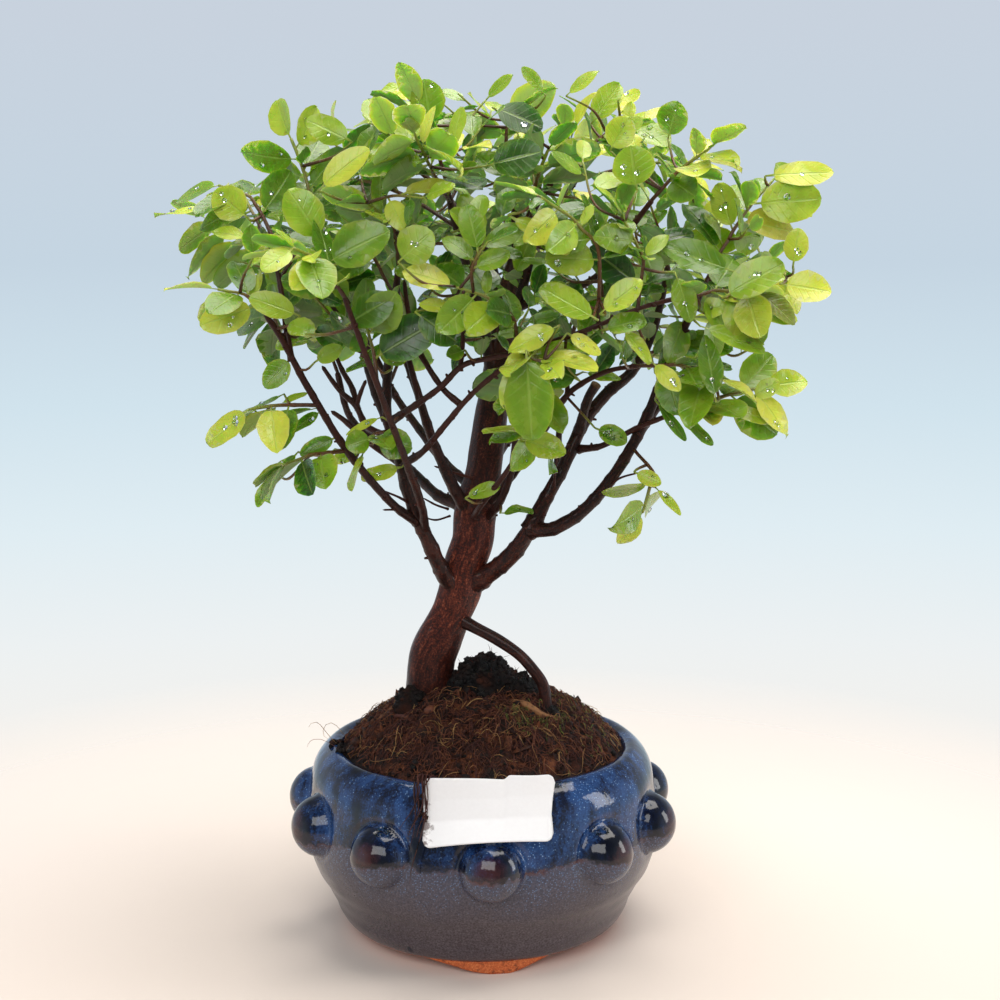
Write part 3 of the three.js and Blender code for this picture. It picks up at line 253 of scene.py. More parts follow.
# Leaves given one by one, in the photograph's pixels: base, tip, the base's depth and the width in mm, how
# far it turns from facing up, 0, to facing the camera, 1, and how pale it is
SEEN_LEAVES = [
    (765, 176, 834, 171, -29, 10.5, 0.75, 0.95), (780, 284, 832, 291, -27, 12.5, 0.8, 1),
    (793, 266, 799, 229, -29, 9, 0.9, 0.9), (716, 402, 707, 336, -62, 8.5, 0.9, 0.35),
    (700, 326, 767, 349, -62, 8.5, 0.6, 0.6), (718, 406, 776, 420, -42, 6.5, 0.6, 0.85),
    (752, 397, 779, 381, -42, 7, 0.8, 0.8), (210, 208, 154, 214, -38, 5.5, 0.4, 0.85),
    (248, 218, 214, 191, -38, 12.5, 0.9, 0.8), (250, 238, 211, 230, -37, 6.5, 0.6, 0.75),
    (325, 264, 388, 229, -68, 15.5, 0.85, 0.4), (398, 262, 431, 231, -74, 13.5, 0.9, 0.6),
    (300, 316, 250, 295, -50, 9.5, 0.8, 0.7), (312, 286, 308, 248, -60, 9, 0.9, 0.6),
    (352, 142, 307, 118, -32, 11, 0.8, 0.6), (432, 126, 424, 79, -26, 12.5, 0.85, 0.55),
    (492, 107, 543, 125, -36, 12, 0.7, 0), (487, 166, 541, 150, -50, 14.5, 0.75, 0.05),
    (508, 215, 571, 250, -74, 7.5, 0.6, 0.8), (735, 272, 664, 244, -58, 12, 0.75, 0.35),
    (722, 298, 783, 262, -66, 13, 0.75, 0.6), (735, 304, 799, 316, -60, 9.5, 0.65, 0.8),
    (675, 272, 693, 321, -64, 8.5, 0.8, 0.5), (526, 350, 532, 441, -80, 16.5, 0.95, 0.5),
    (520, 439, 566, 453, -56, 9.5, 0.8, 0.75), (600, 314, 641, 279, -78, 9.5, 0.7, 0.75),
    (598, 320, 541, 286, -82, 10, 0.7, 0.6), (637, 190, 631, 146, -60, 14.5, 0.85, 0.65),
    (610, 151, 629, 117, -44, 10.5, 0.85, 0.85), (668, 139, 677, 101, -31, 11.5, 0.85, 0.5),
    (318, 190, 367, 147, -54, 10, 0.75, 0.9), (322, 241, 289, 189, -64, 13.5, 0.8, 0.6),
    (392, 369, 396, 341, -45, 10, 0.95, 0.5), (375, 440, 411, 447, -36, 11.5, 0.95, 0.4),
    (372, 438, 346, 446, -37, 9, 0.9, 0.45), (315, 362, 341, 347, -42, 6.5, 0.9, 0.6),
    (292, 358, 264, 387, -36, 9, 0.8, 0.5), (300, 335, 276, 349, -34, 6, 0.8, 0.7),
    (310, 392, 282, 400, -32, 4, 0.5, 0.7), (284, 394, 240, 416, -32, 7, 0.15, 0.4),
    (253, 409, 215, 438, -30, 7, 0.15, 0.35), (318, 408, 269, 418, -30, 7, 0.15, 0.3),
    (322, 411, 291, 431, -30, 6, 0.4, 0.35), (337, 437, 300, 455, -28, 6.5, 0.85, 0.4),
    (335, 449, 315, 467, -28, 4.5, 0.6, 0.45), (298, 452, 270, 478, -28, 5.5, 0.5, 0.45),
    (276, 472, 254, 505, -28, 5, 0.5, 0.55), (360, 451, 333, 461, -26, 5.5, 0.8, 0.8),
    (402, 467, 361, 478, -24, 6.5, 0.7, 0.85), (382, 417, 345, 432, -34, 4, 0.5, 0.85),
    (415, 312, 457, 341, -62, 11.5, 0.8, 0.1), (458, 310, 420, 302, -66, 5.5, 0.7, 0.85),
    (465, 350, 447, 356, -55, 5.5, 0.9, 0.4), (345, 326, 391, 296, -62, 12.5, 0.8, 0.2),
    (580, 381, 537, 360, -56, 14, 0.85, 0.25), (537, 352, 505, 366, -70, 6.5, 0.8, 0.95),
    (560, 325, 508, 350, -76, 8.5, 0.7, 0.85), (567, 333, 601, 353, -74, 5.5, 0.8, 1),
    (622, 328, 652, 362, -66, 5.5, 0.7, 0.75), (652, 362, 681, 390, -62, 6.5, 0.8, 0.9),
    (603, 330, 645, 318, -70, 8, 0.7, 0.45), (583, 372, 621, 378, -20, 5, 0.7, 0.6),
    (595, 428, 627, 441, -30, 7.5, 0.9, 0.5), (634, 472, 661, 484, -30, 6, 0.85, 0.85),
    (655, 487, 682, 514, -30, 3.5, 0.6, 0.85), (676, 412, 715, 443, -40, 5, 0.6, 0.4),
    (655, 400, 687, 440, -40, 4, 0.6, 0.3), (680, 388, 711, 405, -40, 4.5, 0.6, 0.7),
    (700, 312, 725, 305, -56, 7.5, 0.85, 0.7), (500, 513, 533, 510, -14, 6, 0.35, 0.35),
    (465, 498, 498, 484, -20, 6.5, 0.6, 0.6), (405, 85, 378, 92, -20, 5, 0.5, 0.7),
    (546, 96, 524, 66, -12, 5, 0.7, 0.6), (566, 96, 598, 70, -14, 5.5, 0.7, 0.75),
    (618, 100, 640, 92, -14, 6, 0.6, 0.9), (486, 100, 512, 74, -22, 6, 0.6, 0.6)]
# Thin bare limbs given in the same way: places in pixels, with a depth and a radius in mm each
SEEN_LIMBS = [
    [(388, 424, -21, 1.5), (381, 398, -17, 1.5), (373, 374, -15, 1.4), (366, 352, -14, 1.1),
        (360, 330, -13, 0.8)],
    [(380, 353, -19, 1.1), (366, 346, -17, 1.1), (352, 336, -15, 1), (335, 310, -12, 0.9),
        (316, 286, -10, 0.7)],
    [(381, 434, -18, 1.1), (366, 425, -15, 1.2), (356, 406, -12, 1.2), (340, 391, -9, 1),
        (322, 366, -6, 0.8)],
    [(358, 410, -12, 1.1), (352, 388, -8, 1.1), (343, 372, -5, 1), (336, 356, -3, 0.8)],
    [(356, 408, -12, 0.9), (361, 392, -14, 0.8), (366, 380, -17, 0.7)],
    [(398, 462, -16, 1.3), (375, 447, -15, 1.2), (358, 433, -13, 1.1), (345, 421, -12, 1),
        (331, 411, -11, 0.8)],
    [(460, 404, -40, 1.2), (444, 390, -39, 1.1), (430, 370, -38, 1.1), (416, 345, -37, 1),
        (408, 310, -36, 0.9), (404, 280, -36, 0.7)],
    [(421, 404, -30, 1.3), (412, 372, -29, 1.2), (405, 345, -28, 1.1), (399, 322, -27, 0.9)],
    [(448, 509, 3, 0.5), (436, 505, -2, 0.45), (423, 498, -6, 0.3)],
    [(450, 516, 2, 0.45), (436, 520, -3, 0.4), (426, 518, -6, 0.3)],
    [(472, 478, -3, 0.6), (452, 472, -6, 0.5), (434, 466, -8, 0.35)],
    [(500, 480, -14, 0.7), (516, 459, -19, 0.7), (533, 438, -24, 0.6)]]
# Lamps: name, place in metres, the height that it is turned to, size in metres, watts and colour
LAMPS = [("soft_top", (0.15, 0.12, 1.25), 0.15, (1.3, 1.0), 21, "#fffaf4"),
         ("soft_front", (-0.3, -1.4, 1.0), 0.15, (1.5, 0.9), 15, "#ffffff"),
         ("soft_side", (1.2, -0.15, 0.4), 0.1, (0.3, 0.7), 3.2, "#ffffff")]
# Floor, in metres: its rings' radii, and between which radii it fades into the backdrop
FLOOR = {"middle": 0.02, "rings": (0.2, 0.9, 24), "sides": 96, "fade": (0.1, 0.4)}


def linear(colour):
    """An sRGB hex colour as linear numbers: c/12.92 up to 0.04045, and ((c + 0.055)/1.055)^2.4 above."""
    parts = [int(colour[i:i + 2], 16) / 255 for i in (1, 3, 5)]
    return [c / 12.92 if c <= 0.04045 else ((c + 0.055) / 1.055) ** 2.4 for c in parts] + [1.0]


def per_metre(size):
    """The Scale of a pattern on coordinates in metres, from the real width of its cells in mm."""
    return 1 / (size * MM)


def add(tree, kind, inputs=(), out=0, stops=(), **settings):
    """Adds a node and gives one of its outputs. inputs maps a socket to a number, a hex colour or an output.

    MapRange turns socket 0 from 1..2 into 3..4, Mix goes from 6 to 7 by 0, and Math works on 0, 1 and 2."""
    made = tree.nodes.new("ShaderNode" + kind)
    for name, value in settings.items():
        setattr(made, name, value)
    for key, value in dict(inputs).items():
        if isinstance(value, bpy.types.NodeSocket):
            tree.links.new(value, made.inputs[key])
        else:
            made.inputs[key].default_value = linear(value) if isinstance(value, str) else value
    for i, (place, colour) in enumerate(stops):
        stop = made.color_ramp.elements[i] if i < 2 else made.color_ramp.elements.new(place)
        stop.position = place
        stop.color = linear(colour)
    return made.outputs[out] if made.outputs else None


def material(name, nodes):
    """A material with a Principled shader, whose inputs come from nodes(node). node is add() for its tree."""
    made = bpy.data.materials.new(name)
    made.use_nodes = True
    made.node_tree.nodes.clear()
    node = functools.partial(add, made.node_tree)
    node("OutputMaterial", {"Surface": node("BsdfPrincipled", nodes(node))})
    return made


def piece(name, points, faces, finish, replaces=(), uv=None, marks=()):
    """A mesh object from points in mm. faces is a list of arrays of corners, and uv and marks have a row for
    each point. Its edges stay sharp where both their ends have a rim mark."""
    mesh = bpy.data.meshes.new(name)
    corners = np.concatenate([f.ravel() for f in faces])
    sizes = np.concatenate([np.full(len(f), f.shape[1]) for f in faces])
    mesh.vertices.add(len(points))
    mesh.vertices.foreach_set("co", (np.asarray(points) * MM).astype(np.float32).ravel())
    mesh.loops.add(len(corners))
    mesh.loops.foreach_set("vertex_index", corners.astype(np.int32))
    mesh.polygons.add(len(sizes))
    mesh.polygons.foreach_set("loop_start", (np.cumsum(sizes) - sizes).astype(np.int32))
    mesh.update(calc_edges=True)
    mesh.polygons.foreach_set("use_smooth", np.ones(len(sizes), bool))
    if uv is not None:
        layer = mesh.uv_layers.new(name="surface")
        layer.data.foreach_set("uv", np.asarray(uv)[corners].astype(np.float32).ravel())
    marks = dict(marks)
    rim = marks.pop("rim", None)
    for mark, values in marks.items():
        attribute = mesh.attributes.new(mark, "FLOAT", "POINT")
        values = np.broadcast_to(values, len(points))
        attribute.data.foreach_set("value", values.astype(np.float32).ravel())
    if rim is not None:
        ends = np.zeros(2 * len(mesh.edges), np.int32)
        mesh.edges.foreach_get("vertices", ends)
        sharp = mesh.attributes.new("sharp_edge", "BOOLEAN", "EDGE")
        sharp.data.foreach_set("value", (rim[ends.reshape(-1, 2)] > 0.5).all(1))
    mesh.materials.append(finish)
    mesh.validate()
    made = bpy.data.objects.new(name, mesh)
    bpy.context.scene.collection.objects.link(made)
    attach(made, "root")
    if replaces:
        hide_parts(*replaces)
    return made


def unit(v):
    """Vectors divided by their length."""
    return v / np.maximum(np.linalg.norm(v, axis=-1, keepdims=True), 1e-9)


def mix(a, b, t):
    """a + (b - a)t."""
    return a + (b - a) * t


def smoothstep(x, low, high):
    """3t² - 2t³, with t from 0 at low to 1 at high."""
    t = np.clip((x - low) / (high - low), 0, 1)
    return t * t * (3 - 2 * t)


def angle_from(angle, degrees):
    """How far angles in radians are turned about the axis from a place in degrees from the front: -π to π."""
    return np.angle(np.exp(1j * (angle - math.radians(degrees - 90))))


def around(radius, angle, height):
    """Places at a distance from the axis, at angles in radians about it and at heights."""
    radius, angle, height = np.broadcast_arrays(radius, angle, height)
    return np.stack([radius * np.cos(angle), radius * np.sin(angle), height], -1)


def round_pot(radius, degrees, height):
    """Places at a distance from the axis, turned by degrees from the front."""
    return around(radius, np.radians(degrees - 90), height)


def noise(points, size, seed=0):
    """Smooth noise from -1 to 1: a random value at each corner of cubes of that size in mm, blended by
    3t² - 2t³. Whole-number sums and shifts of a corner's place make its value."""
    place = np.asarray(points) / size + 100
    cell = np.floor(place).astype(np.int64)
    t = place - cell
    t = t * t * (3 - 2 * t)
    total = 0
    for corner in np.ndindex(2, 2, 2):
        at = cell + corner
        key = at[..., 0] * 374761393 + at[..., 1] * 668265263 + at[..., 2] * 2147483647 + seed * 974634777
        key = key & 0xFFFFFFFF
        key = ((key ^ (key >> 13)) * 1274126177) & 0xFFFFFFFF
        value = ((key ^ (key >> 16)) & 0xFFFF) / 0xFFFF
        total = total + value * np.prod(np.where(corner, t, 1 - t), axis=-1)
    return 2 * total - 1


def rough(points, size, octaves=3, seed=0):
    """Noise at that size plus noise at each halved size, half as strong each time."""
    return sum(noise(points, size / 2 ** i, seed + i) / 2 ** i for i in range(octaves))


def grid_faces(rows, columns, closed=False):
    """The quads of a grid of points, row by row. closed joins its last column to its first."""
    i, j = np.meshgrid(np.arange(rows - 1), np.arange(columns if closed else columns - 1), indexing="ij")
    low, k = i * columns, (j + 1) % columns
    return np.stack([low + j, low + k, low + columns + k, low + columns + j], -1).reshape(-1, 4)


def closed_faces(rows, columns):
    """The quads of rings of points, with one face over each end."""
    j = np.arange(columns)
    return [grid_faces(rows, columns, True), np.array([j[::-1]]), np.array([(rows - 1) * columns + j])]


def join(parts):
    """Parts that are (points, [faces], {marks}, uv) as one, with the corners of each counted on."""
    start, points, faces, marks, uv = 0, [], [], {}, []
    for part_points, part_faces, part_marks, part_uv in parts:
        points.append(part_points)
        faces += [f + start for f in part_faces]
        uv.append(part_uv)
        start += len(part_points)
        for mark, values in part_marks.items():
            marks.setdefault(mark, []).append(np.broadcast_to(values, len(part_points)))
    marks = {mark: np.concatenate(values) for mark, values in marks.items()}
    return np.concatenate(points), faces, marks, np.concatenate(uv)


def smooth_path(points, step):
    """A centripetal Catmull-Rom curve through points, cut in even steps, and the length along it at each.

    A fourth number of the points runs straight between them."""
    p = np.array(points, float)
    ends = np.vstack([2 * p[0] - p[1], p, 2 * p[-1] - p[-2]])[:, :3]
    gaps = np.sqrt(np.maximum(np.linalg.norm(np.diff(ends, axis=0), axis=1), 0.01))
    t = np.linspace(0, 1, 25)[:-1, None]
    pieces = []
    for i in range(len(p) - 1):
        a, b, c, d = ends[i:i + 4]
        g, h, k = gaps[i:i + 3]
        out = ((b - a) / g - (c - a) / (g + h) + (c - b) / h) * h
        into = ((c - b) / h - (d - b) / (h + k) + (d - c) / k) * h
        curve = b + out * t + (3 * (c - b) - 2 * out - into) * t ** 2 + (2 * (b - c) + out + into) * t ** 3
        pieces.append(np.hstack([curve, mix(p[i, 3:], p[i + 1, 3:], t)]))
    curve = np.vstack([*pieces, p[-1:]])
    along = np.concatenate([[0], np.cumsum(np.linalg.norm(np.diff(curve[:, :3], axis=0), axis=1))])
    even = np.linspace(0, along[-1], max(2, int(round(along[-1] / step)) + 1))
    return np.stack([np.interp(even, along, column) for column in curve.T], -1), even


def frames(path):
    """Tangent and two directions across it at each place of a path: the first is the axis that the path leans
    on least, less its part along the tangent, and the second is at right angles to both."""
    tangent = unit(np.gradient(path, axis=0))
    axis = np.eye(3)[np.argmin(np.abs(tangent).max(0))]
    across = unit(axis - tangent * (tangent @ axis)[:, None])
    return tangent, across, np.cross(tangent, across)


def from_picture(u, v, depth):
    """The place at a depth y in mm that CAMERA sees at pixel (u, v) of its picture.

    The ray is forward + right·(u - middle)/f + up·(middle - v)/f, cut where its y is the depth."""
    focal = CAMERA["lens"] / CAMERA["sensor"] * CAMERA["picture"]
    down = math.radians(CAMERA["down_degrees"])
    aside, above = (u - CAMERA["picture"] / 2) / focal, (CAMERA["picture"] / 2 - v) / focal
    ray = np.array([aside, math.cos(down) + above * math.sin(down), above * math.cos(down) - math.sin(down)])
    place = np.array(CAMERA["place"])
    return place + ray * (depth - place[1]) / ray[1]


def in_picture(points):
    """The pixels of CAMERA's picture that show points, as across and down: from_picture turned round."""
    focal = CAMERA["lens"] / CAMERA["sensor"] * CAMERA["picture"]
    middle = CAMERA["picture"] / 2
    down = math.radians(CAMERA["down_degrees"])
    span = np.asarray(points) - CAMERA["place"]
    ahead = span[..., 1] * math.cos(down) - span[..., 2] * math.sin(down)
    rise = span[..., 1] * math.sin(down) + span[..., 2] * math.cos(down)
    return middle + focal * span[..., 0] / ahead, middle - focal * rise / ahead


def in_crown(points):
    """Whether points are seen inside CROWN_OUTLINE: a level line to their left crosses it an odd number of
    times."""
    across, down = in_picture(points)
    inside = np.zeros(across.shape, bool)
    for (x0, y0), (x1, y1) in zip(CROWN_OUTLINE, CROWN_OUTLINE[1:] + CROWN_OUTLINE[:1]):
        between = (y0 > down) != (y1 > down)
        if y0 != y1:
            inside ^= between & (across > x0 + (down - y0) * (x1 - x0) / (y1 - y0))
    return inside


def tube(path, along, radius, sides, shape=None, marks=None):
    """A closed tube: centre + radius·shape·(across·cos angle + other·sin angle), with its two end points.

    shape(along, angle) gives a factor for each place round it. Its surface is unrolled in mm."""
    tangent, across, other = frames(path)
    angle = np.linspace(0, TURN, sides, endpoint=False)
    reach = np.broadcast_to(radius[:, None], (len(path), sides)).copy()
    if shape is not None:
        reach = reach * shape(along, angle)
    ring = across[:, None] * np.cos(angle)[:, None] + other[:, None] * np.sin(angle)[:, None]
    points = (path[:, None] + ring * reach[..., None]).reshape(-1, 3)
    last = (len(path) - 1) * sides
    j = np.arange(sides)
    k = (j + 1) % sides
    caps = np.vstack([np.stack([k, j, np.full(sides, len(points))], -1),
                      np.stack([last + j, last + k, np.full(sides, len(points) + 1)], -1)])
    uv = np.stack([np.broadcast_to(angle * radius[:, None], reach.shape),
                   np.broadcast_to(along[:, None], reach.shape)], -1).reshape(-1, 2)
    points = np.vstack([points, path[:1], path[-1:]])
    uv = np.vstack([uv, [[0, along[0]], [0, along[-1]]]])
    all_marks = {}
    for mark, values in (marks or {}).items():
        values = np.broadcast_to(values, len(path))
        all_marks[mark] = np.concatenate([np.repeat(values, sides), values[:1], values[-1:]])
    return points, [grid_faces(len(path), sides, True), caps], all_marks, uv


# Pot

def pot_profile():
    """The pot's profile as a smooth curve, with fine steps from the foot to the soil line."""
    path, along = smooth_path([(r, z, 0) for r, z in POT_PROFILE], 0.2)
    start = along[np.argmax(path[:, 0] > POT_GRID["foot_radius"])]
    crest = along[np.argmax(path[:, 1])]
    end = along[(along > crest) & (path[:, 1] < POT_GRID["soil_line"])][0]
    places = np.concatenate([np.arange(0, start, POT_GRID["coarse"]), np.arange(start, end, POT_GRID["fine"]),
                             np.arange(end, along[-1], POT_GRID["coarse"]), along[-1:]])
    radius, height = np.interp(places, along, path[:, 0]), np.interp(places, along, path[:, 1])
    return radius, height, places < crest


def boss_reach(angle, height):
    """How far out the bosses stand on a ray from the axis, and how far it passes from the nearest one's
    middle.

    A ball of radius R whose middle is on a ring ends at ring·cos + √(R² - dz² - ring²·sin²)."""
    reach = np.zeros(np.broadcast(angle, height).shape)
    nearest = np.full(reach.shape, np.inf)
    for degrees, middle in BOSSES:
        turn = angle_from(angle, degrees)
        off = (height - middle) ** 2 + (BOSS["ring"] * np.sin(turn)) ** 2
        inside = BOSS["radius"] ** 2 - off
        found = BOSS["ring"] * np.cos(turn) + np.sqrt(np.maximum(inside, 0))
        ahead = np.cos(turn) > 0
        reach = np.where((inside > 0) & ahead, np.maximum(reach, found), reach)
        nearest = np.where(ahead, np.minimum(nearest, np.sqrt(off)), nearest)
    return reach, nearest


def pot_parts():
    """The pot: its profile turned round, pushed out to the bosses, slightly uneven, with faint rings below.

    Wall and boss are joined by a soft maximum, wall + fillet·log(1 + e^((boss - wall)/fillet))."""
    radius, height, outside = pot_profile()
    angle = np.linspace(0, TURN, POT_GRID["columns"], endpoint=False)
    wall, z = np.broadcast_arrays(radius[:, None], height[:, None] + 0 * angle)
    reach, nearest = boss_reach(angle[None] + 0 * z, z)
    bulge = BOSS["fillet"] * np.logaddexp(0, (reach - wall) / BOSS["fillet"])
    from_groove = (nearest - BOSS["radius"] - BOSS["groove_off"]) / BOSS["groove_wide"]
    groove = BOSS["groove"] * np.exp(-from_groove ** 2) * (bulge < BOSS["groove_end"])
    out = np.where(outside[:, None], bulge - groove, 0)
    thrown = around(wall, angle, z)
    for i, (amount, size) in enumerate(WALL["uneven"]):
        out = out + amount * noise(thrown, size, 3 + i)
    sway = WALL["sway"][0] * noise(thrown, WALL["sway"][1], 6)
    shown = 1 - smoothstep(z, *WALL["ring_top"])
    out = out + WALL["ring"] * np.sin(z * TURN / WALL["pitch"] + sway) * shown
    reach = wall + out * smoothstep(z, *WALL["plain"])
    points = around(reach, angle, z).reshape(-1, 3)
    rows, columns = reach.shape
    last = (rows - 1) * columns
    j = np.arange(columns)
    k = (j + 1) % columns
    drain = np.stack([last + j, last + k, k, j], -1)
    level = points * (1, 1, 0)
    above = points[:, 2] - GLAZE["edge"]
    for i, (amount, size) in enumerate(GLAZE["wander"]):
        above = above - amount * noise(level, size, 21 + i)
    drip = np.zeros(reach.shape)
    for degrees, middle, size in DRIPS:
        aside = angle_from(angle, degrees) * 60
        near = np.exp(-(aside / size) ** 2 - ((z - middle) / (1.7 * size)) ** 2)
        drip = np.maximum(drip, near * outside[:, None])
    dome = np.clip(bulge / BOSS["stand"], 0, 1) * outside[:, None]
    marks = {"dome": dome.ravel(), "bare": 0.0, "above": above, "drip": drip.ravel()}
    return points, [grid_faces(rows, columns, True), drain], marks, np.zeros((len(points), 2))


def foot_parts(turn):
    """A foot, turned about the axis: a block that widens upward, with a round outer face and rounded corners.

    Its plan is a superellipse |u|^6 + |v|^6 = 1 stretched between its left and right ends and, across it,
    between its inner face and the circle of its outer one."""
    sides, rows, power = FOOT["sides"], FOOT["rows"], FOOT["power"]
    angle = np.linspace(0, TURN, sides, endpoint=False)
    rise = FOOT["height"] * np.linspace(0, 1, rows) ** FOOT["spread"]
    height = np.concatenate([[0, 0, 0], rise, [FOOT["height"] + FOOT["sunk"]] * 2])
    shrink = 1 - FOOT["edge"] * (1 - np.clip(height / FOOT["round"], 0, 1)) ** 2
    share = np.concatenate([[0.02, 0.5, 0.8], np.ones(rows), [1, 0.02]]) * shrink
    t = np.clip(height / FOOT["height"], 0, 1)
    left, right = (mix(FOOT["bottom"][i], FOOT["top"][i], t)[:, None] for i in (0, 1))
    plan = (np.abs(np.cos(angle)) ** power + np.abs(np.sin(angle)) ** power) ** (-1 / power)
    u = share[:, None] * np.cos(angle) * plan
    v = share[:, None] * np.sin(angle) * plan
    x = mix(left, right, (u + 1) / 2)
    y = -mix(FOOT["inner"], np.sqrt(FOOT["outer"] ** 2 - x ** 2), (1 - v) / 2)
    points = np.stack([x, y, height[:, None] + 0 * x], -1)
    amount, size = FOOT["uneven"]
    points = points + amount * noise(points, size, 8)[..., None] * (height > 0)[:, None, None]
    a = math.radians(turn)
    about = np.array([[math.cos(a), math.sin(a), 0], [-math.sin(a), math.cos(a), 0], [0, 0, 1]])
    points = points.reshape(-1, 3) @ about
    marks = {"dome": 0.0, "bare": 1.0, "above": -30.0, "drip": 0.0}
    return points, closed_faces(len(height), sides), marks, np.zeros((len(points), 2))


def glazed_stoneware(node):
    """Stoneware dipped twice: a satin iron-brown glaze all over, then a glossy cobalt one from the rim to the
    bosses. The cobalt is near black where it is even, breaks into fine pale specks, thins to rust brown on
    the bosses, and leaves a blue haze under its ragged edge. The underside and feet are bare orange clay."""
    place = node("TexCoord", out="Object")
    names = ("dome", "bare", "above", "drip")
    dome, bare, above, drip = (node("Attribute", attribute_name=name, out="Fac") for name in names)
    z = node("SeparateXYZ", {0: place}, out="Z")
    runs = node("Mapping", {"Vector": place, "Scale": (1, 1, 0.4)})
    grain = node("TexNoise", {"Vector": place, "Scale": per_metre(0.667), "Detail": 3, "Roughness": 0.62})
    cloud = node("TexNoise", {"Vector": runs, "Scale": per_metre(11.8), "Detail": 6, "Roughness": 0.7})
    ragged = node("TexNoise", {"Vector": place, "Scale": per_metre(2.38), "Detail": 4, "Roughness": 0.6})

    # The cobalt layer: near black navy, mottled in cells of 0.8 mm, thick in clouds and off the bosses. Its
    # specks are 0.3 mm wide on the real pot, and 0.56 mm here so that they show
    on_boss = node("MapRange", {0: dome, 1: 0.05, 2: 0.75, 3: 0.03, 4: -0.06})
    base = node("Math", {0: cloud, 1: on_boss}, operation="ADD")
    cobalt = node("ValToRGB", {0: base}, stops=[(0.38, "#070a17"), (0.5, "#0c1631"), (0.62, "#172c58")])
    mottle = node("TexNoise", {"Vector": place, "Scale": per_metre(0.8), "Detail": 2})
    mottle = node("Math", {0: mottle, 1: base, 2: -0.5}, operation="MULTIPLY_ADD")
    mottle = node("Math", {0: mottle, 1: base}, operation="ADD")
    mottle = node("MapRange", {0: mottle, 1: 0.22, 2: 0.46, 4: 0.75})
    apart = node("TexVoronoi", {"Vector": place, "Scale": per_metre(0.556)}, out="Distance")
    chance = node("SeparateXYZ", {0: apart.node.outputs["Color"]}, out="X")
    dense = node("MapRange", {0: base, 1: 0.42, 2: 0.66, 3: 1.1, 4: 0.45})
    lit = node("Math", {0: chance, 1: dense}, operation="SUBTRACT")
    lit = node("MapRange", {0: lit, 2: 0.35})
    dot = node("MapRange", {0: apart, 1: 0.22, 2: 0.5, 3: 1.0, 4: 0.0})
    dot = node("Math", {0: dot, 1: lit}, operation="MULTIPLY")
    speck = node("ValToRGB", {0: chance}, stops=[(0.4, "#2f5a9c"), (0.85, "#4d7cb6"), (1.0, "#8fb0d2")])

    # Rust brown where it is thin: on the outer half of each boss, in patches
    thin = node("MapRange", {0: dome, 1: 0.4, 4: 0.6})
    thin = node("Math", {0: thin, 1: cloud}, operation="ADD")
    thin = node("MapRange", {0: thin, 1: 0.86, 2: 1.08, 4: 0.8})

    # The satin brown layer, with a blue haze in specks that fades within 20 mm under the cobalt's edge
    satin = node("ValToRGB", {0: grain}, stops=[(0.35, "#352a2c"), (0.52, "#463c42"), (0.68, "#5c5156")])
    haze = node("MapRange", {0: above, 1: -22.0, 2: -1.0, 3: 0.02, 4: 0.62})
    haze = node("Math", {0: haze, 1: cloud}, operation="MULTIPLY")
    even = node("Math", {0: haze, 1: 1.1}, operation="MULTIPLY")
    spot = node("MapRange", {0: haze, 2: 0.3, 3: 1.0, 4: 0.5})
    spot = node("Math", {0: chance, 1: spot}, operation="SUBTRACT")
    spot = node("MapRange", {0: spot, 2: 0.3, 4: 0.8})
    round_spot = node("MapRange", {0: apart, 1: 0.2, 2: 0.55, 3: 1.0, 4: 0.0})
    spot = node("Math", {0: spot, 1: round_spot}, operation="MULTIPLY")

    # The edge between them: ragged by 1 mm, black just above it and rust in stretches just below it
    rough_edge = node("MapRange", {0: ragged, 1: 0.25, 2: 0.75, 3: -1.3, 4: 1.3})
    over = node("Math", {0: above, 1: rough_edge}, operation="ADD")
    cover = node("MapRange", {0: over, 1: -0.35, 2: 0.45})
    black = node("MapRange", {0: over, 1: 2.6, 2: 0.3, 4: 0.7})
    rust = node("MapRange", {0: over, 1: -1.8, 2: -0.2})
    stretch = node("MapRange", {0: cloud, 1: 0.45, 2: 0.6, 4: 0.85})
    rust = node("Math", {0: rust, 1: stretch}, operation="MULTIPLY")
    run = node("MapRange", {0: drip, 1: 0.35, 2: 0.5})

    # Bare clay on the underside, up to a wavering line just over the bottom edge
    clay = node("Math", {0: ragged, 1: 0.0032}, operation="MULTIPLY")
    clay = node("Math", {0: z, 1: clay}, operation="SUBTRACT")
    clay = node("MapRange", {0: clay, 1: 0.0038, 2: 0.0032})
    clay = node("Math", {0: clay, 1: bare}, operation="MAXIMUM")
    fired = node("ValToRGB", {0: grain}, stops=[(0.3, "#93401f"), (0.5, "#c2602f"), (0.7, "#d47f4a")])
    stain = node("MapRange", {0: ragged, 1: 0.56, 2: 0.66, 4: 0.7})
    fired = node("Mix", {0: stain, 6: fired, 7: "#4a1f12"}, out=2, data_type="RGBA")

    # All layers from the first one up, each by its share
    for share, layer in ((mottle, "#2a4a7c"), (dot, speck), (thin, "#43211c"), (black, "#0b0a16")):
        cobalt = node("Mix", {0: share, 6: cobalt, 7: layer}, out=2, data_type="RGBA")
    colour = satin
    for share, layer in ((even, "#394a68"), (spot, "#6482ab"), (rust, "#54281a"), (cover, cobalt),
                         (run, "#0d1226"), (clay, fired)):
        colour = node("Mix", {0: share, 6: colour, 7: layer}, out=2, data_type="RGBA")
    wet = node("Math", {0: cover, 1: run}, operation="MAXIMUM")
    gloss = node("MapRange", {0: wet, 3: 0.24, 4: 0.09})
    gloss = node("MapRange", {0: clay, 3: gloss, 4: 0.85})

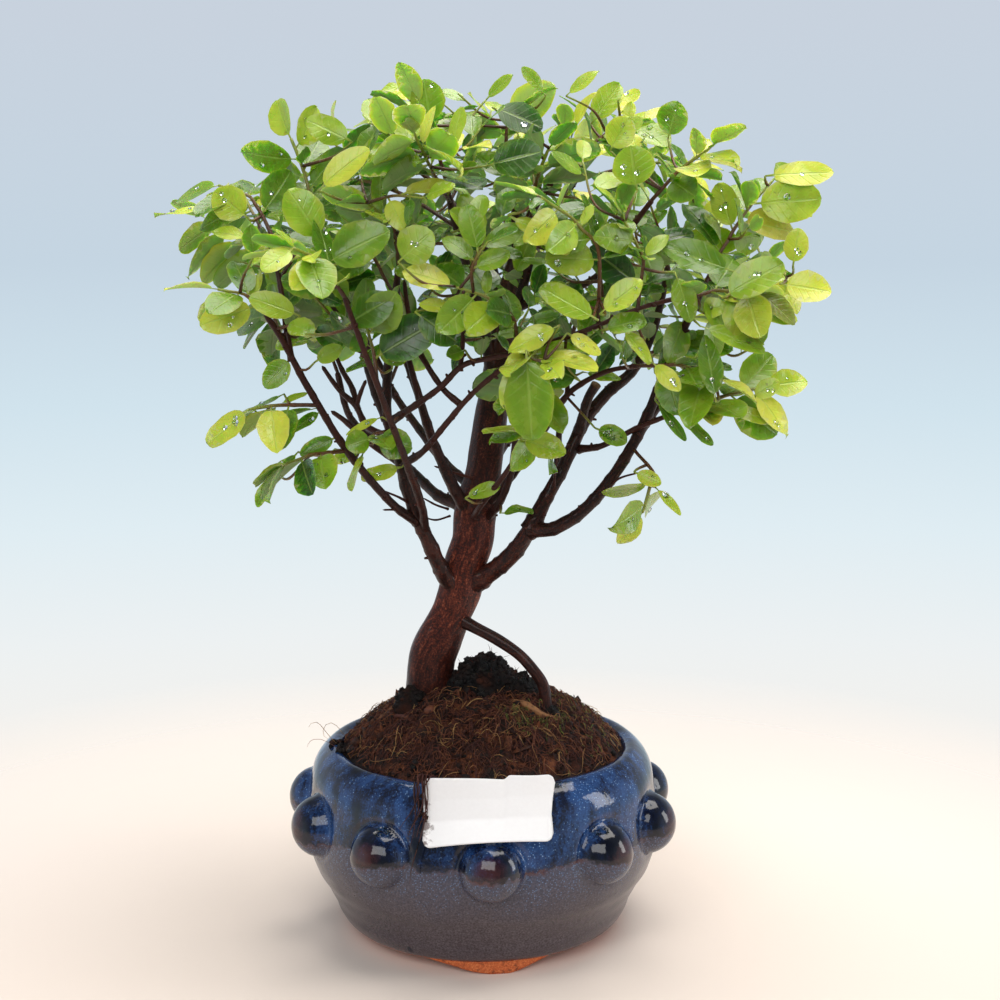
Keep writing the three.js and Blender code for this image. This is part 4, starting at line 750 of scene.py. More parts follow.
    # Orange peel 3 mm across on the glaze, and the step of the second coat's edge
    peel = node("TexNoise", {"Vector": place, "Scale": per_metre(3.33), "Detail": 2})
    height = node("Math", {0: peel, 1: wet}, operation="ADD")
    bump = node("Bump", {"Strength": 0.15, "Distance": 0.0008, "Height": height})
    return {"Base Color": colour, "Roughness": gloss, "Normal": bump, "IOR": 1.52}


# Soil

def ground(x, y):
    """The soil's height: the solids' mound from edge to crown, with their lumps away from its rim."""
    out = np.hypot(x, y)
    mound = mix(SOIL["edge"], SOIL["crown"], 1 - (out / SOIL["radius"]) ** SOIL["steepness"])
    lump = np.sin(x * 0.21 + 1) * np.cos(y * 0.24) + 0.6 * np.sin(x * 0.43 - y * 0.37)
    return mound + SOIL["lump"] * lump * smoothstep(SOIL["radius"] - out, 0, SOIL["flat_rim"])


def soil_parts():
    """The soil: ground() with crumbly noise, on a plain block that fills the pot."""
    sides = SOIL["sides"]
    top = np.linspace(SOIL["radius"], 0.3, SOIL["rows"])
    angle = np.linspace(0, TURN, sides, endpoint=False)
    radius, height = np.transpose(SOIL["block"])[..., None]
    low = around(radius, angle, height)
    x, y = top[:, None] * np.cos(angle), top[:, None] * np.sin(angle)
    flat = np.stack([x, y, ground(x, y)], -1)
    inward = smoothstep(SOIL["radius"] - np.hypot(x, y), 0, SOIL["calm_rim"])
    crumbly = sum(height * rough(flat, size, octaves, seed) for height, size, octaves, seed in SOIL["grain"])
    flat[..., 2] += crumbly * mix(0.35, 1, inward)
    points = np.concatenate([low, flat]).reshape(-1, 3)
    faces = closed_faces(len(low) + len(flat), sides)
    return points, faces, {"tone": 0.5 + 0.3 * noise(points, 9, 40)}, np.zeros((len(points), 2))


def clump_parts(centre, size, seed):
    """A clump of peat: a ball pushed in and out by noise, in lumps and in crumbs on them."""
    rows = CLUMP["rows"][size[0] > CLUMP["wide"]]
    tilt = np.linspace(0.02, math.pi - 0.02, rows)[:, None]
    angle = np.linspace(0, TURN, 2 * rows, endpoint=False)
    scaled = around(np.sin(tilt), angle, np.cos(tilt)) * size
    swell = 1
    for i, (depth, cell) in enumerate(CLUMP["swell"]):
        swell = swell + depth * noise(scaled, cell, seed + i)
    points = (np.array(centre) + scaled * swell[..., None]).reshape(-1, 3)
    faces = [f[:, ::-1] for f in closed_faces(rows, 2 * rows)]
    return points, faces, {"tone": 0.12 + 0.16 * noise(points, 4, seed)}, np.zeros((len(points), 2))


def ico():
    """The twelve points and twenty faces of an icosahedron."""
    g = (1 + 5 ** 0.5) / 2
    points = [(-1, g, 0), (1, g, 0), (-1, -g, 0), (1, -g, 0), (0, -1, g), (0, 1, g), (0, -1, -g), (0, 1, -g),
              (g, 0, -1), (g, 0, 1), (-g, 0, -1), (-g, 0, 1)]
    faces = [(0, 11, 5), (0, 5, 1), (0, 1, 7), (0, 7, 10), (0, 10, 11), (1, 5, 9), (5, 11, 4), (11, 10, 2),
             (10, 7, 6), (7, 1, 8), (3, 9, 4), (3, 4, 2), (3, 2, 6), (3, 6, 8), (3, 8, 9), (4, 9, 5),
             (2, 4, 11), (6, 2, 10), (8, 6, 7), (9, 8, 1)]
    return unit(np.array(points, float)), np.array(faces)


def crumb_parts(places, sizes, tones, flat=1.0):
    """Crumbs: icosahedra stretched by random scales, with each corner moved in or out by up to a third.

    flat below 1 makes chips, thin one way and long another."""
    points, faces = ico()
    count = len(places)
    scale = rng.uniform(*CRUMB["stretch"], (count, 1, 3)) * np.array([2 - flat, 1, flat])
    uneven = rng.uniform(*CRUMB["corner"], (count, 12, 1))
    turn, _ = np.linalg.qr(rng.normal(size=(count, 3, 3)))
    bodies = (points * scale * uneven) @ turn * sizes[:, None, None] + places[:, None]
    corners = faces[None] + 12 * np.arange(count)[:, None, None]
    flipped = np.linalg.det(turn) < 0
    corners[flipped] = corners[flipped][:, :, ::-1]
    marks = {"tone": np.repeat(tones, 12)}
    return bodies.reshape(-1, 3), [corners.reshape(-1, 3)], marks, np.zeros((12 * count, 2))


def strand_parts(lines, radius, tones):
    """Threads: three-sided tubes along lines of shape (count, places, 3), thinner to both ends."""
    count, places, _ = lines.shape
    upright = np.array([0.31, 0.17, 0.93])
    tangent = unit(np.gradient(lines, axis=1))
    across = unit(np.cross(tangent, upright))
    other = np.cross(tangent, across)
    taper = np.sin(np.linspace(0.35, math.pi - 0.35, places))
    reach = (radius[:, None] * taper)[..., None, None]
    angle = np.arange(3) * TURN / 3
    ring = across[:, :, None] * np.cos(angle)[:, None] + other[:, :, None] * np.sin(angle)[:, None]
    points = (lines[:, :, None] + ring * reach).reshape(-1, 3)
    start = 3 * places * np.arange(count)[:, None, None]
    sides = (grid_faces(places, 3, True)[None] + start).reshape(-1, 4)
    ends = np.array([[2, 1, 0], [3 * places - 3, 3 * places - 2, 3 * places - 1]])
    faces = [sides, (ends[None] + start).reshape(-1, 3)]
    return points, faces, {"tone": np.repeat(tones, 3 * places)}, np.zeros((len(points), 2))


def scatter(count, reach=53):
    """Random places on the soil, evenly over its disc."""
    out = reach * rng.random(count) ** 0.5
    angle = rng.random(count) * TURN
    return out * np.cos(angle), out * np.sin(angle)


def fibre_lines(count, length, lift, curl=1.0, places=8, at=None):
    """Fibres lying on the soil: a straight run bent by two random arcs, a little above ground().

    Their middles are at the x and y of at, or anywhere. None reaches past the soil's edge."""
    x, y = at or scatter(count, 51)
    heading = rng.random(count) * TURN
    size = rng.uniform(*length, count)
    s = np.linspace(-0.5, 0.5, places)
    bend = rng.normal(0, 0.55 * curl, count)[:, None] * s
    bend = bend + rng.normal(0, 0.5 * curl, count)[:, None] * np.sin(5 * s + 1)
    angle = heading[:, None] + bend * 2
    step = size[:, None] / places
    px = x[:, None] + np.cumsum(np.cos(angle) * step, 1)
    py = y[:, None] + np.cumsum(np.sin(angle) * step, 1)
    shrink = np.minimum(1, 53.4 / np.maximum(np.hypot(px, py), 1))
    px, py = px * shrink, py * shrink
    arch = np.abs(np.sin(rng.random(count)[:, None] * 3 + 4 * s))
    rise = rng.uniform(*lift, count)[:, None] * arch + 0.35
    return np.stack([px, py, ground(px, py) + rise], -1)


def tuft_lines(roots, length, outward):
    """Short curved fibres that stand off a clump: each leaves its root towards outward and bends aside."""
    count = len(roots)
    heading = unit(outward + 0.8 * rng.normal(size=(count, 3)))
    aside = unit(rng.normal(size=(count, 3)))
    s = np.linspace(-0.1, 1, 8)[None, :, None]
    size = rng.uniform(*length, count)[:, None, None]
    return roots[:, None] + size * (heading[:, None] * s + 0.5 * aside[:, None] * s ** 2)


def over_rim(low):
    """Threads that leave the soil, cross the rim and the tag's top edge, and hang down its front.

    Each follows HANGING's line of radius and height pairs at its own turn, down to its own height in low."""
    line, _ = smooth_path([(r, z, 0) for r, z in HANGING["line"]], 0.5)
    count, places = HANGING["count"], HANGING["places"]
    off = rng.uniform(*HANGING["off"], count)
    drift = rng.normal(0, HANGING["drift"], count)
    s = np.linspace(0, 1, places)
    lines = []
    for turn, end, out, side in zip(np.linspace(*HANGING["degrees"], count), low, off, drift):
        part = line[: np.argmax((line[:, 1] < end) & (line[:, 0] > 60))]
        pick = part[np.linspace(0, len(part) - 1, places).astype(int)]
        degrees = turn + side * s ** 1.5 + 0.9 * np.sin(9 * s + turn)
        lines.append(round_pot(pick[:, 0] + out * s, degrees, pick[:, 1]))
    return np.array(lines)


def damp_peat(node):
    """Damp peat and bark fines: dark brown, near black where wet, red-brown where fibres show. Its grains are
    0.3 mm wide, and are drawn 1.1 mm wide so that they show."""
    place = node("TexCoord", out="Object")
    tone = node("Attribute", attribute_name="tone", out="Fac")
    grain = node("TexNoise", {"Vector": place, "Scale": per_metre(1.11), "Detail": 4, "Roughness": 0.7})
    patch = node("TexNoise", {"Vector": place, "Scale": per_metre(7.69), "Detail": 3})
    shade = node("Math", {0: grain, 1: tone}, operation="MULTIPLY")
    shade = node("Math", {0: shade, 1: patch}, operation="ADD")
    colour = node("ValToRGB", {0: shade}, stops=[
        (0.46, "#050202"), (0.66, "#190a06"), (0.84, "#3c1c0f"), (1.0, "#6c3d25")])
    gloss = node("MapRange", {0: patch, 1: 0.4, 2: 0.6, 3: 0.5, 4: 0.9})
    bump = node("Bump", {"Strength": 0.9, "Distance": 0.0009, "Height": grain})
    return {"Base Color": colour, "Roughness": gloss, "Normal": bump, "Specular IOR Level": 0.3}


def dry_root_fibre(node):
    """Root hairs and coir: threads from dark red-brown to tan, by tone, with moss green above 1, and dusted
    with peat in patches of 1.4 mm."""
    tone = node("Attribute", attribute_name="tone", out="Fac")
    half = node("Math", {0: tone, 1: 0.5}, operation="MULTIPLY")
    colour = node("ValToRGB", {0: half}, stops=[
        (0.0, "#1c0a06"), (0.15, "#48190f"), (0.32, "#7c4426"), (0.5, "#bb9058"), (0.6, "#4c5620"),
        (0.8, "#737c36")])
    place = node("TexCoord", out="Object")
    dust = node("TexNoise", {"Vector": place, "Scale": per_metre(1.43)})
    dust = node("MapRange", {0: dust, 1: 0.45, 2: 0.7, 4: 0.6})
    colour = node("Mix", {0: dust, 6: colour, 7: "#2c120b"}, out=2, data_type="RGBA")
    return {"Base Color": colour, "Roughness": 0.7}


# Tree

def bark_shape(flutes):
    """The trunk's section: three broad ribs, five faint ones, and flakes as noise stretched upward."""
    def shape(along, angle):
        c, s, up = np.broadcast_arrays(np.cos(angle), np.sin(angle), along[:, None])
        place = np.stack([c, s, up / 6], -1)
        broad, faint = BARK["ribs"]
        ribs = flutes * (broad * np.sin(3 * angle + 0.8) + faint * np.sin(5 * angle + 0.05 * up))
        flake, flake_size = BARK["flakes"]
        swell, swell_size = BARK["swells"]
        flakes = flake * np.abs(rough(place, flake_size, 3, 50))
        flakes = flakes + swell * noise(place * (1, 1, 4), swell_size, 60)
        return 1 + ribs + flakes - BARK["drawn_in"]
    return shape


def twig_shape(seed):
    """A limb's section: noise as bark, and a ring or node every few millimetres."""
    def shape(along, angle):
        c, s, up = np.broadcast_arrays(np.cos(angle), np.sin(angle), along[:, None])
        place = np.stack([2 * c, 2 * s, up / 3], -1)
        off = (along + 1.7 * seed) % TWIG["apart"] - TWIG["first"]
        reach = 1
        for i, (share, size) in enumerate(TWIG["bark"]):
            reach = reach + share * noise(place, size, seed + 9 * i)
        return reach + TWIG["node"] * np.exp(-(off / TWIG["long"]) ** 2)[:, None]
    return shape


def tube_along(points, step, sides, shape, cut=False, scale=0.96, flare=0.25):
    """A tube through points with a radius each, of which scale is kept.

    It flares where it leaves its parent, and rounds off at its tip unless it is cut."""
    path, along = smooth_path(points, step)
    radius = path[:, 3] * scale * (1 + flare * np.exp(-along / (1.6 * path[0, 3])))
    if not cut:
        left = along[-1] - along
        radius = radius * np.sqrt(np.clip(left / path[-1, 3] + 0.06, 0, 1))
    edge = np.where(along > along[-1] - 0.05, 1.0, 0.0) if cut else 0 * along
    thick = np.clip(path[:, 3] / 9, 0, 1)
    return tube(path[:, :3], along, radius, sides, shape, {"cut": edge, "thick": thick})


def nub_parts(points, seed):
    """Buds and broken twig ends along a limb: cones of six sides, each 137 degrees on from the last."""
    path, along = smooth_path(points, 0.5)
    tangent, across, other = frames(path[:, :3])
    draws = np.random.default_rng(seed)
    places = np.arange(6 + 3 * draws.random(), along[-1] - 2, NUB["gap"])
    parts = []
    for i, place in enumerate(places + draws.uniform(-2, 2, len(places))):
        k = int(np.clip(np.searchsorted(along, place), 0, len(along) - 1))
        a = 2.4 * i + seed
        outward = across[k] * math.cos(a) + other[k] * math.sin(a)
        r = path[k, 3]
        height = draws.uniform(*NUB["height"])
        start = path[k, :3] + outward * r * 0.7
        end = path[k, :3] + outward * (r + height) + tangent[k] * height * 0.7
        line = np.linspace(start, end, 4)
        size = np.array(NUB["radius"]) * draws.uniform(0.7, 1.1)
        parts.append(tube(line, np.linspace(0, 2, 4), size, 6, None, {"cut": 0.0, "thick": 0.1}))
    return parts


def tree_parts():
    """Trunk, aerial root, limbs, thin bare limbs, bare twigs and buds."""
    parts = [tube_along(TRUNK, 0.8, 72, bark_shape(1.0), flare=0.0, scale=0.98),
             tube_along(AERIAL_ROOT, 0.8, 24, bark_shape(0.5), flare=0.8, cut=True, scale=0.8)]
    for i, (name, points) in enumerate(LIMBS.items()):
        is_thick = points[0][3] > LIMB["thick"]
        sides, flare = LIMB["sides"][is_thick], LIMB["flare"][is_thick]
        parts.append(tube_along(points, 1.1, sides, twig_shape(i), name in CUT_LIMBS, flare=flare))
        parts += nub_parts(points, 100 + i)
    for i, points in enumerate(BARE_TWIGS):
        parts.append(tube_along(points, 1.0, 8, twig_shape(70 + i)))
    for i, seen in enumerate(SEEN_LIMBS):
        points = [(*from_picture(u, v, depth), radius) for u, v, depth, radius in seen]
        parts.append(tube_along(points, 1.0, 8, twig_shape(90 + i)))
    return parts


def flaking_bark(node):
    """Wet flaking bark: red-brown on the trunk with upright plates, darker near the soil, with painted shade
    among the limbs, near black on thick limbs, red-brown on thin ones, and tan where cut."""
    surface = node("UVMap", uv_map="surface")
    thick = node("Attribute", attribute_name="thick", out="Fac")
    cut = node("Attribute", attribute_name="cut", out="Fac")
    place = node("TexCoord", out="Object")

    # Flakes on the surface unrolled in mm, 1.3 mm wide and 6 mm tall, and finer ones of 0.7 mm
    plates = node("Mapping", {"Vector": surface, "Scale": (1, 0.22, 1)})
    flakes = node("TexNoise", {"Vector": plates, "Scale": 0.75, "Detail": 6, "Roughness": 0.68,
                               "Distortion": 0.4})
    fine = node("TexNoise", {"Vector": place, "Scale": per_metre(0.714), "Detail": 3, "Roughness": 0.7})
    blotch = node("TexNoise", {"Vector": place, "Scale": per_metre(11.1), "Detail": 3})
    tone = node("Math", {0: flakes, 1: fine}, operation="ADD")
    tone = node("Math", {0: tone, 1: 0.5}, operation="MULTIPLY")
    trunk = node("ValToRGB", {0: tone}, stops=[
        (0.36, "#120503"), (0.45, "#35110a"), (0.54, "#632718"), (0.65, "#a85c40")])
    limb = node("ValToRGB", {0: tone}, stops=[
        (0.36, "#0c0504"), (0.48, "#210e0a"), (0.58, "#3c1a12"), (0.69, "#663523")])
    red = node("MapRange", {0: thick, 1: 0.25, 2: 0.85})
    thin = node("MapRange", {0: thick, 1: 0.1, 2: 0.2, 3: 0.55, 4: 0.0})
    rusty = node("MapRange", {0: blotch, 1: 0.55, 2: 0.75, 4: 0.45})
    # Darker towards the soil, and painted shade on the trunk among the limbs, where the crown shades it, both
    # mixed to #1c0a07
    height = node("SeparateXYZ", {0: place}, out="Z")
    low = node("MapRange", {0: height, 1: 0.088, 2: 0.125, 3: 0.75, 4: 0.0})
    high = node("MapRange", {0: height, 1: 0.148, 2: 0.172, 4: 0.62})
    dark_foot_painted_shade = node("Math", {0: low, 1: high}, operation="MAXIMUM")
    dark_foot_painted_shade = node("Math", {0: dark_foot_painted_shade, 1: red}, operation="MULTIPLY")
    # Layers: the trunk's red bark, thin twigs, rust patches, the darker foot with painted shade among the
    # limbs, and cut ends
    colour = limb
    for share, layer in ((red, trunk), (thin, "#4e2219"), (rusty, "#54251a"), (dark_foot_painted_shade, "#1c0a07"),
                         (cut, "#7a5a3c")):
        colour = node("Mix", {0: share, 6: colour, 7: layer}, out=2, data_type="RGBA")
    gloss = node("MapRange", {0: fine, 1: 0.3, 2: 0.7, 3: 0.35, 4: 0.65})
    bump = node("Bump", {"Strength": 0.9, "Distance": 0.0011, "Height": tone})
    return {"Base Color": colour, "Roughness": gloss, "Normal": bump, "Specular IOR Level": 0.18,
            "Coat Weight": 0.22, "Coat Roughness": 0.14}


# Leaves

def solid_leaves(node):
    """Each leaf of a shoot's solid: base, run to the tip, face normal, width and sag. Also its stem points.

    Four posts, edges exactly as long as the leaf is thick, stand at its two stations, and a point that all of
    the outer four corners share is its tip. The line through the middles, B + a·t + b·t², gives the rest."""
    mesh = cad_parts[node].data
    points = np.zeros(3 * len(mesh.vertices), np.float32)
    mesh.vertices.foreach_get("co", points)
    corners = np.zeros(len(mesh.loops), np.int32)
    mesh.loops.foreach_get("vertex_index", corners)
    points = points.reshape(-1, 3).astype(float) / MM
    _, first, place = np.unique(np.round(points, 3), axis=0, return_index=True, return_inverse=True)
    points, faces = points[first], place.reshape(-1)[corners].reshape(-1, 3)
    edges = np.unique(np.sort(np.vstack([faces[:, :2], faces[:, 1:], faces[:, ::2]]), 1), axis=0)
    span = points[edges[:, 1]] - points[edges[:, 0]]
    length = np.linalg.norm(span, axis=1)
    is_post = np.abs(length - SOLID_LEAF["thickness"]) < SOLID_LEAF["slack"]
    posts, lean = edges[is_post], span[is_post] / length[is_post, None]
    near = [set() for _ in points]
    for a, b in edges:
        near[a].add(b)
        near[b].add(a)
    same = np.abs(lean @ lean.T) > math.cos(math.radians(SOLID_LEAF["turn"]))
    joined = np.array([[bool((near[a] | near[b]) & {c, d}) for c, d in posts] for a, b in posts])
    leaves, used, left = [], set(), np.ones(len(posts), bool)
    for i in range(len(posts)):
        group = {i}
        for _ in range(3):
            group |= {j for k in group for j in np.flatnonzero(same[i] & joined[k] & left)}
        if not left[i] or len(group) != 4:
            continue
        ends = {int(p) for j in group for p in posts[j]}
        around = [p for p in set.union(*(near[e] for e in ends)) - ends if len(near[p] & ends) >= 4]
        if not around:
            continue
        tip = max(around, key=lambda p: len(near[p] & ends))
        outer = [j for j in group if posts[j][0] in near[tip] and posts[j][1] in near[tip]]
        inner = [j for j in group if j not in outer]
        if len(outer) != 2 or len(inner) != 2:
            continue
        left[list(group)] = False
        used |= ends | {tip}
        s, t = SOLID_LEAF["stations"]
        low, high = points[posts[inner]].mean((0, 1)), points[posts[outer]].mean((0, 1))
        base, run, bend = np.linalg.solve([[1, s, s * s], [1, t, t * t], [1, 1, 1]], [low, high, points[tip]])
        wide = [points[posts[pair[0]]].mean(0) - points[posts[pair[1]]].mean(0) for pair in (inner, outer)]
        width = np.mean([np.linalg.norm(w) / share for w, share in zip(wide, SOLID_LEAF["shares"])])
        leaves.append((base, run, unit(-bend), width, np.linalg.norm(bend)))
    stem = points[[p for p in range(len(points)) if p not in used]]
    return leaves, stem


def stem_line(leaves, stem):
    """A shoot's stem: from the ring of solid points farthest from its leaves, through their bases."""
    bases = np.array([leaf[0] for leaf in leaves])
    spread = np.linalg.norm(stem[:, None] - stem[None], axis=-1)
    ends = np.unravel_index(np.argmax(spread), spread.shape)
    tip = min(ends, key=lambda i: np.linalg.norm(stem[i] - bases, axis=1).min())
    root = ends[0] if tip == ends[1] else ends[1]
    start = stem[spread[root] < STEM["root_ring"]].mean(0)
    end = stem[spread[tip] < STEM["tip_ring"]].mean(0)
    axis = unit(end - start)
    reach = (end - start) @ axis
    known = np.vstack([bases, stem])
    place = (known - start) @ axis
    weight = np.concatenate([np.full(len(bases), STEM["leaf_weight"]), np.ones(len(stem))])
    centres = []
    for low in np.arange(2.0, reach - 2, STEM["slice"]):
        inside = (place >= low) & (place < low + STEM["slice"])
        if inside.sum() > 2:
            centres.append((known[inside] * weight[inside, None]).sum(0) / weight[inside].sum())
    return np.vstack([start, *centres, end])


def outline(t, stalk):
    """A leaf's half width as a share: none along the stalk, then sin(πq^0.94)^0.5 over the blade."""
    q = np.clip((t - stalk) / (1 - stalk), 0, 1)
    return np.sin(math.pi * q ** 0.94) ** 0.5


def leaf_parts(base, run, normal, width, sag, tone, stations=BLADE["stations"], stalk=BLADE["stalk"]):
    """Leaves, as arrays: base + run·t - normal·sag·t² is the midrib, and side·half width leads to the edge.

    Each blade folds up in a shallow V along its midrib, waves at its edge, has faint teeth, and is closed
    below by a flatter face. Its stations are closer at its ends, t = (1 - cos πk/n)/2, to keep them round."""
    count = len(base)
    length = np.linalg.norm(run, axis=1)
    side = unit(np.cross(normal, run))
    blade = (1 - np.cos(math.pi * np.arange(stations) / (stations - 1))) / 2
    t = np.concatenate([[0], stalk + (1 - stalk) * blade])
    rows = len(t)
    across = np.array(BLADE["across"])
    teeth = 1 + BLADE["teeth"] * np.where(np.arange(rows) % 2, 1, -1) * smoothstep(t, 0.25, 0.35)
    half = 0.5 * width[:, None] * outline(t, stalk) * teeth
    half = np.maximum(half, np.where(t < 0.98, BLADE["stalk_half"], BLADE["tip_half"]))
    fold = rng.uniform(*BLADE["fold"], count)[:, None, None]
    curl = rng.normal(0, BLADE["curl"], count)[:, None, None]
    wave = rng.uniform(*BLADE["wave"], count)[:, None, None]
    phase = rng.random(count)[:, None, None] * TURN
    s, t_row = across[None, None], t[None, :, None]
    edge = fold * half[..., None] + wave * np.sin(8 * t_row + phase + np.sign(s))
    lift = np.abs(s) * edge + BLADE["rib"] * (1 - s ** 2) + curl * length[:, None, None] * t_row ** 2 * s
    lift = np.where(t_row < stalk, BLADE["stalk_rib"] * (1 - s ** 2), lift)
    spine = base[:, None] + run[:, None] * t[:, None] - normal[:, None] * (sag[:, None] * t ** 2)[..., None]
    wide = side[:, None, None] * (half[..., None] * s)[..., None]
    top = spine[:, :, None] + wide + normal[:, None, None] * lift[..., None]
    under = spine - normal[:, None] * BLADE["under"]
    points = np.concatenate([top, under[:, :, None]], 2)
    k = np.arange(rows - 1)[:, None]
    j = np.arange(4)
    upper = np.stack([6 * k + j, 6 * k + 6 + j, 6 * k + 7 + j, 6 * k + 1 + j], -1).reshape(-1, 4)
    k = k[:, 0]
    lower = np.concatenate([np.stack([6 * k + 4, 6 * k + 10, 6 * k + 11, 6 * k + 5], -1),
                            np.stack([6 * k + 5, 6 * k + 11, 6 * k + 6, 6 * k], -1)])
    quads = np.concatenate([upper, lower])
    end = 6 * (rows - 1)
    caps = np.array([[0, 1, 2, 3, 4, 5], [end + 5, end + 4, end + 3, end + 2, end + 1, end]])
    start = (6 * rows * np.arange(count))[:, None, None]
    faces = [(quads[None] + start).reshape(-1, 4), (caps[None] + start).reshape(-1, 6)]
    u = np.broadcast_to(np.concatenate([(across + 1) / 2, [0.5]]), (count, rows, 6))
    v = np.broadcast_to(t[:, None], (count, rows, 6))
    marks = {"tone": np.repeat(tone, 6 * rows), "seed": np.repeat(rng.random(count), 6 * rows), "green": 1.0,
             "under": np.tile([0, 0, 0, 0, 0, 1], rows * count),
             "rim": np.tile([1, 0, 0, 0, 1, 0], rows * count)}
    return points.reshape(-1, 3), faces, marks, np.stack([u, v], -1).reshape(-1, 2)


def stem_parts(path, along, seed):
    """A shoot's stem: a six-sided tube with its nodes, older at its root."""
    return tube(path[:, :3], along, path[:, 3], 6, twig_shape(seed),
                {"tone": along / along[-1], "seed": 0.5, "green": 0.0, "under": 0.0, "rim": 0.0})


def shoot_parts():
    """All shoots of the solids: their stems, and one fine leaf for each solid leaf. Also lists of both."""
    parts, leaves, stems = [], [], []
    for node in SHOOTS:
        found, stem = solid_leaves(node)
        line = stem_line(found, stem)
        line = np.vstack([line[0] + unit(line[0] - line[1]) * STEM["inside"], line])
        radius = np.linspace(*STEM["radius"], len(line))
        path, along = smooth_path(np.column_stack([line, radius]), STEM["step"])
        parts.append(stem_parts(path, along, len(parts)))
        stems.append(path)
        for leaf in found:
            from_tip = np.linalg.norm(leaf[0] - line[-1]) / STEM["young"]
            leaves.append((*leaf, 1 - min(1, from_tip)))
    columns = [np.array([leaf[i] for leaf in leaves]) for i in range(6)]
    base, run, normal, width, sag, near_tip = columns
    parts.append(leaf_parts(base, run, normal, width, sag, leaf_tone(base + run, near_tip)))
    return parts, columns, stems


def leaf_tone(end, near_tip):
    """How pale a leaf is, from 0 for old and in painted shade to 1 for young and in painted light: by its
    place on its shoot, by how far out, up and to the right in the crown it ends, which paints the crown's
    light and shade, and chance."""
    # Out, high and to the right in the crown a leaf gets painted light; deep inside it, painted shade
    outward = np.linalg.norm((end - CROWN["centre"]) / CROWN["size"], axis=1)
    outer = smoothstep(outward, 0.5, 1.1)
    high = (end[:, 2] - CROWN["centre"][2]) / 70
    right = smoothstep(end[:, 0], 20, 100)
    tone = TONE["always"] + TONE["tip"] * near_tip + TONE["outer"] * outer
    tone = tone + TONE["high"] * high + TONE["right"] * right
    return np.clip(tone + rng.normal(0, TONE["chance"], len(end)), 0, 1)


def square_to(normals, runs):
    """Normals less the part of them that lies along the runs, made one long."""
    heading = unit(runs)
    return unit(normals - heading * (normals * heading).sum(-1, keepdims=True))


def across_leaves(big, stems):
    """A smaller leaf across the stem from each solid one: the same run turned about the stem, and shortened.

    It is turned by the formula d·cos a + (axis × d)·sin a + axis·(axis·d)·(1 - cos a)."""
    base, run, _, _, _, near_tip = big
    found = []
    for i in range(len(base)):
        path = min(stems, key=lambda s: np.linalg.norm(s[:, :3] - base[i], axis=1).min())
        k = int(np.argmin(np.linalg.norm(path[:, :3] - base[i], axis=1))) + int(rng.integers(-2, 3))
        k = int(np.clip(k, 1, len(path) - 2))
        axis = unit(path[k + 1, :3] - path[k - 1, :3])
        a = math.radians(rng.uniform(*OPPOSITE["degrees"]))
        d = unit(run[i])
        turned = d * math.cos(a) + np.cross(axis, d) * math.sin(a) + axis * (axis @ d) * (1 - math.cos(a))
        size = np.linalg.norm(run[i]) * rng.uniform(*OPPOSITE["share"])
        facing = np.array([0, 0, 1]) + 0.5 * unit(base[i] - CROWN["centre"])
        found.append((path[k, :3], unit(turned) * size, facing, near_tip[i]))
    return found


def limb_leaves(limbs):
    """Small leaves straight on the limbs, every few millimetres above the crown's lower edge."""
    found = []
    for name, path in limbs.items():
        tangent, across, other = frames(path[:, :3])
        is_high = path[-1, 2] > ON_LIMB["above"]
        start = np.searchsorted(path[:, 2], ON_LIMB["from"]) if is_high else len(path)
        for k in range(max(start, 6), len(path) - 2, ON_LIMB["every"]):
            a = rng.random() * TURN
            outward = across[k] * math.cos(a) + other[k] * math.sin(a)
            if name == "cross_twig" or rng.random() < ON_LIMB["none"]:
                continue
            root = path[k, :3] + outward * path[k, 3] * 0.6
            heading = unit(outward + tangent[k] * rng.uniform(0.1, 0.9)) * rng.uniform(*ON_LIMB["length"])
            found.append((root, heading, np.array([0, 0, 1]) + 0.6 * rng.normal(size=3), 0.1))
    return found


def spray_lines(middles, wood):
    """Twigs that fill gaps in the crown, as points with a radius.

    Their ends are picked from random places in the crown, one by one, each the farthest from all leaf middles
    and ends so far. Each starts at the nearest wood that is no higher, and bows a little downward."""
    tries = SPRAY["tries"]
    cloud = unit(rng.normal(size=(tries, 3))) * rng.uniform(*SPRAY["share"], (tries, 1))
    lowest = mix(SPRAY["low_middle"], SPRAY["low_edge"], np.hypot(cloud[:, 0], cloud[:, 1]) ** 1.5)
    cloud = np.array(CROWN["centre"]) + cloud * CROWN["size"]
    cloud = cloud[(cloud[:, 2] > lowest) & in_crown(cloud)]
    near = np.min([np.linalg.norm(cloud - middle, axis=1) for middle in middles], axis=0)
    shortest, longest = SPRAY["length"]
    lines = []
    for _ in range(SPRAY["count"]):
        end = cloud[int(np.argmax(near))]
        near = np.minimum(near, np.linalg.norm(cloud - end, axis=1))
        span = np.linalg.norm(wood - end, axis=1)
        allowed = (span > shortest) & (span < longest) & (wood[:, 2] < end[2] + 3)
        if allowed.any():
            root = wood[int(np.argmin(np.where(allowed, span, np.inf)))]
            lines.append(twig_line(root, end))
    return lines


def twig_line(root, end):
    """A thin twig from root to end, bowed down by an eighth of its length and to a side by chance."""
    size = np.linalg.norm(np.subtract(end, root))
    bow = rng.normal(0, 0.07, 3) * size - np.array([0, 0, 0.12 * size])
    middle = mix(np.array(root), np.array(end), 0.55) + bow
    thick, thinner, thin = SPRAY["radius"]
    return [(*root, thick), (*middle, thinner), (*end, thin)]


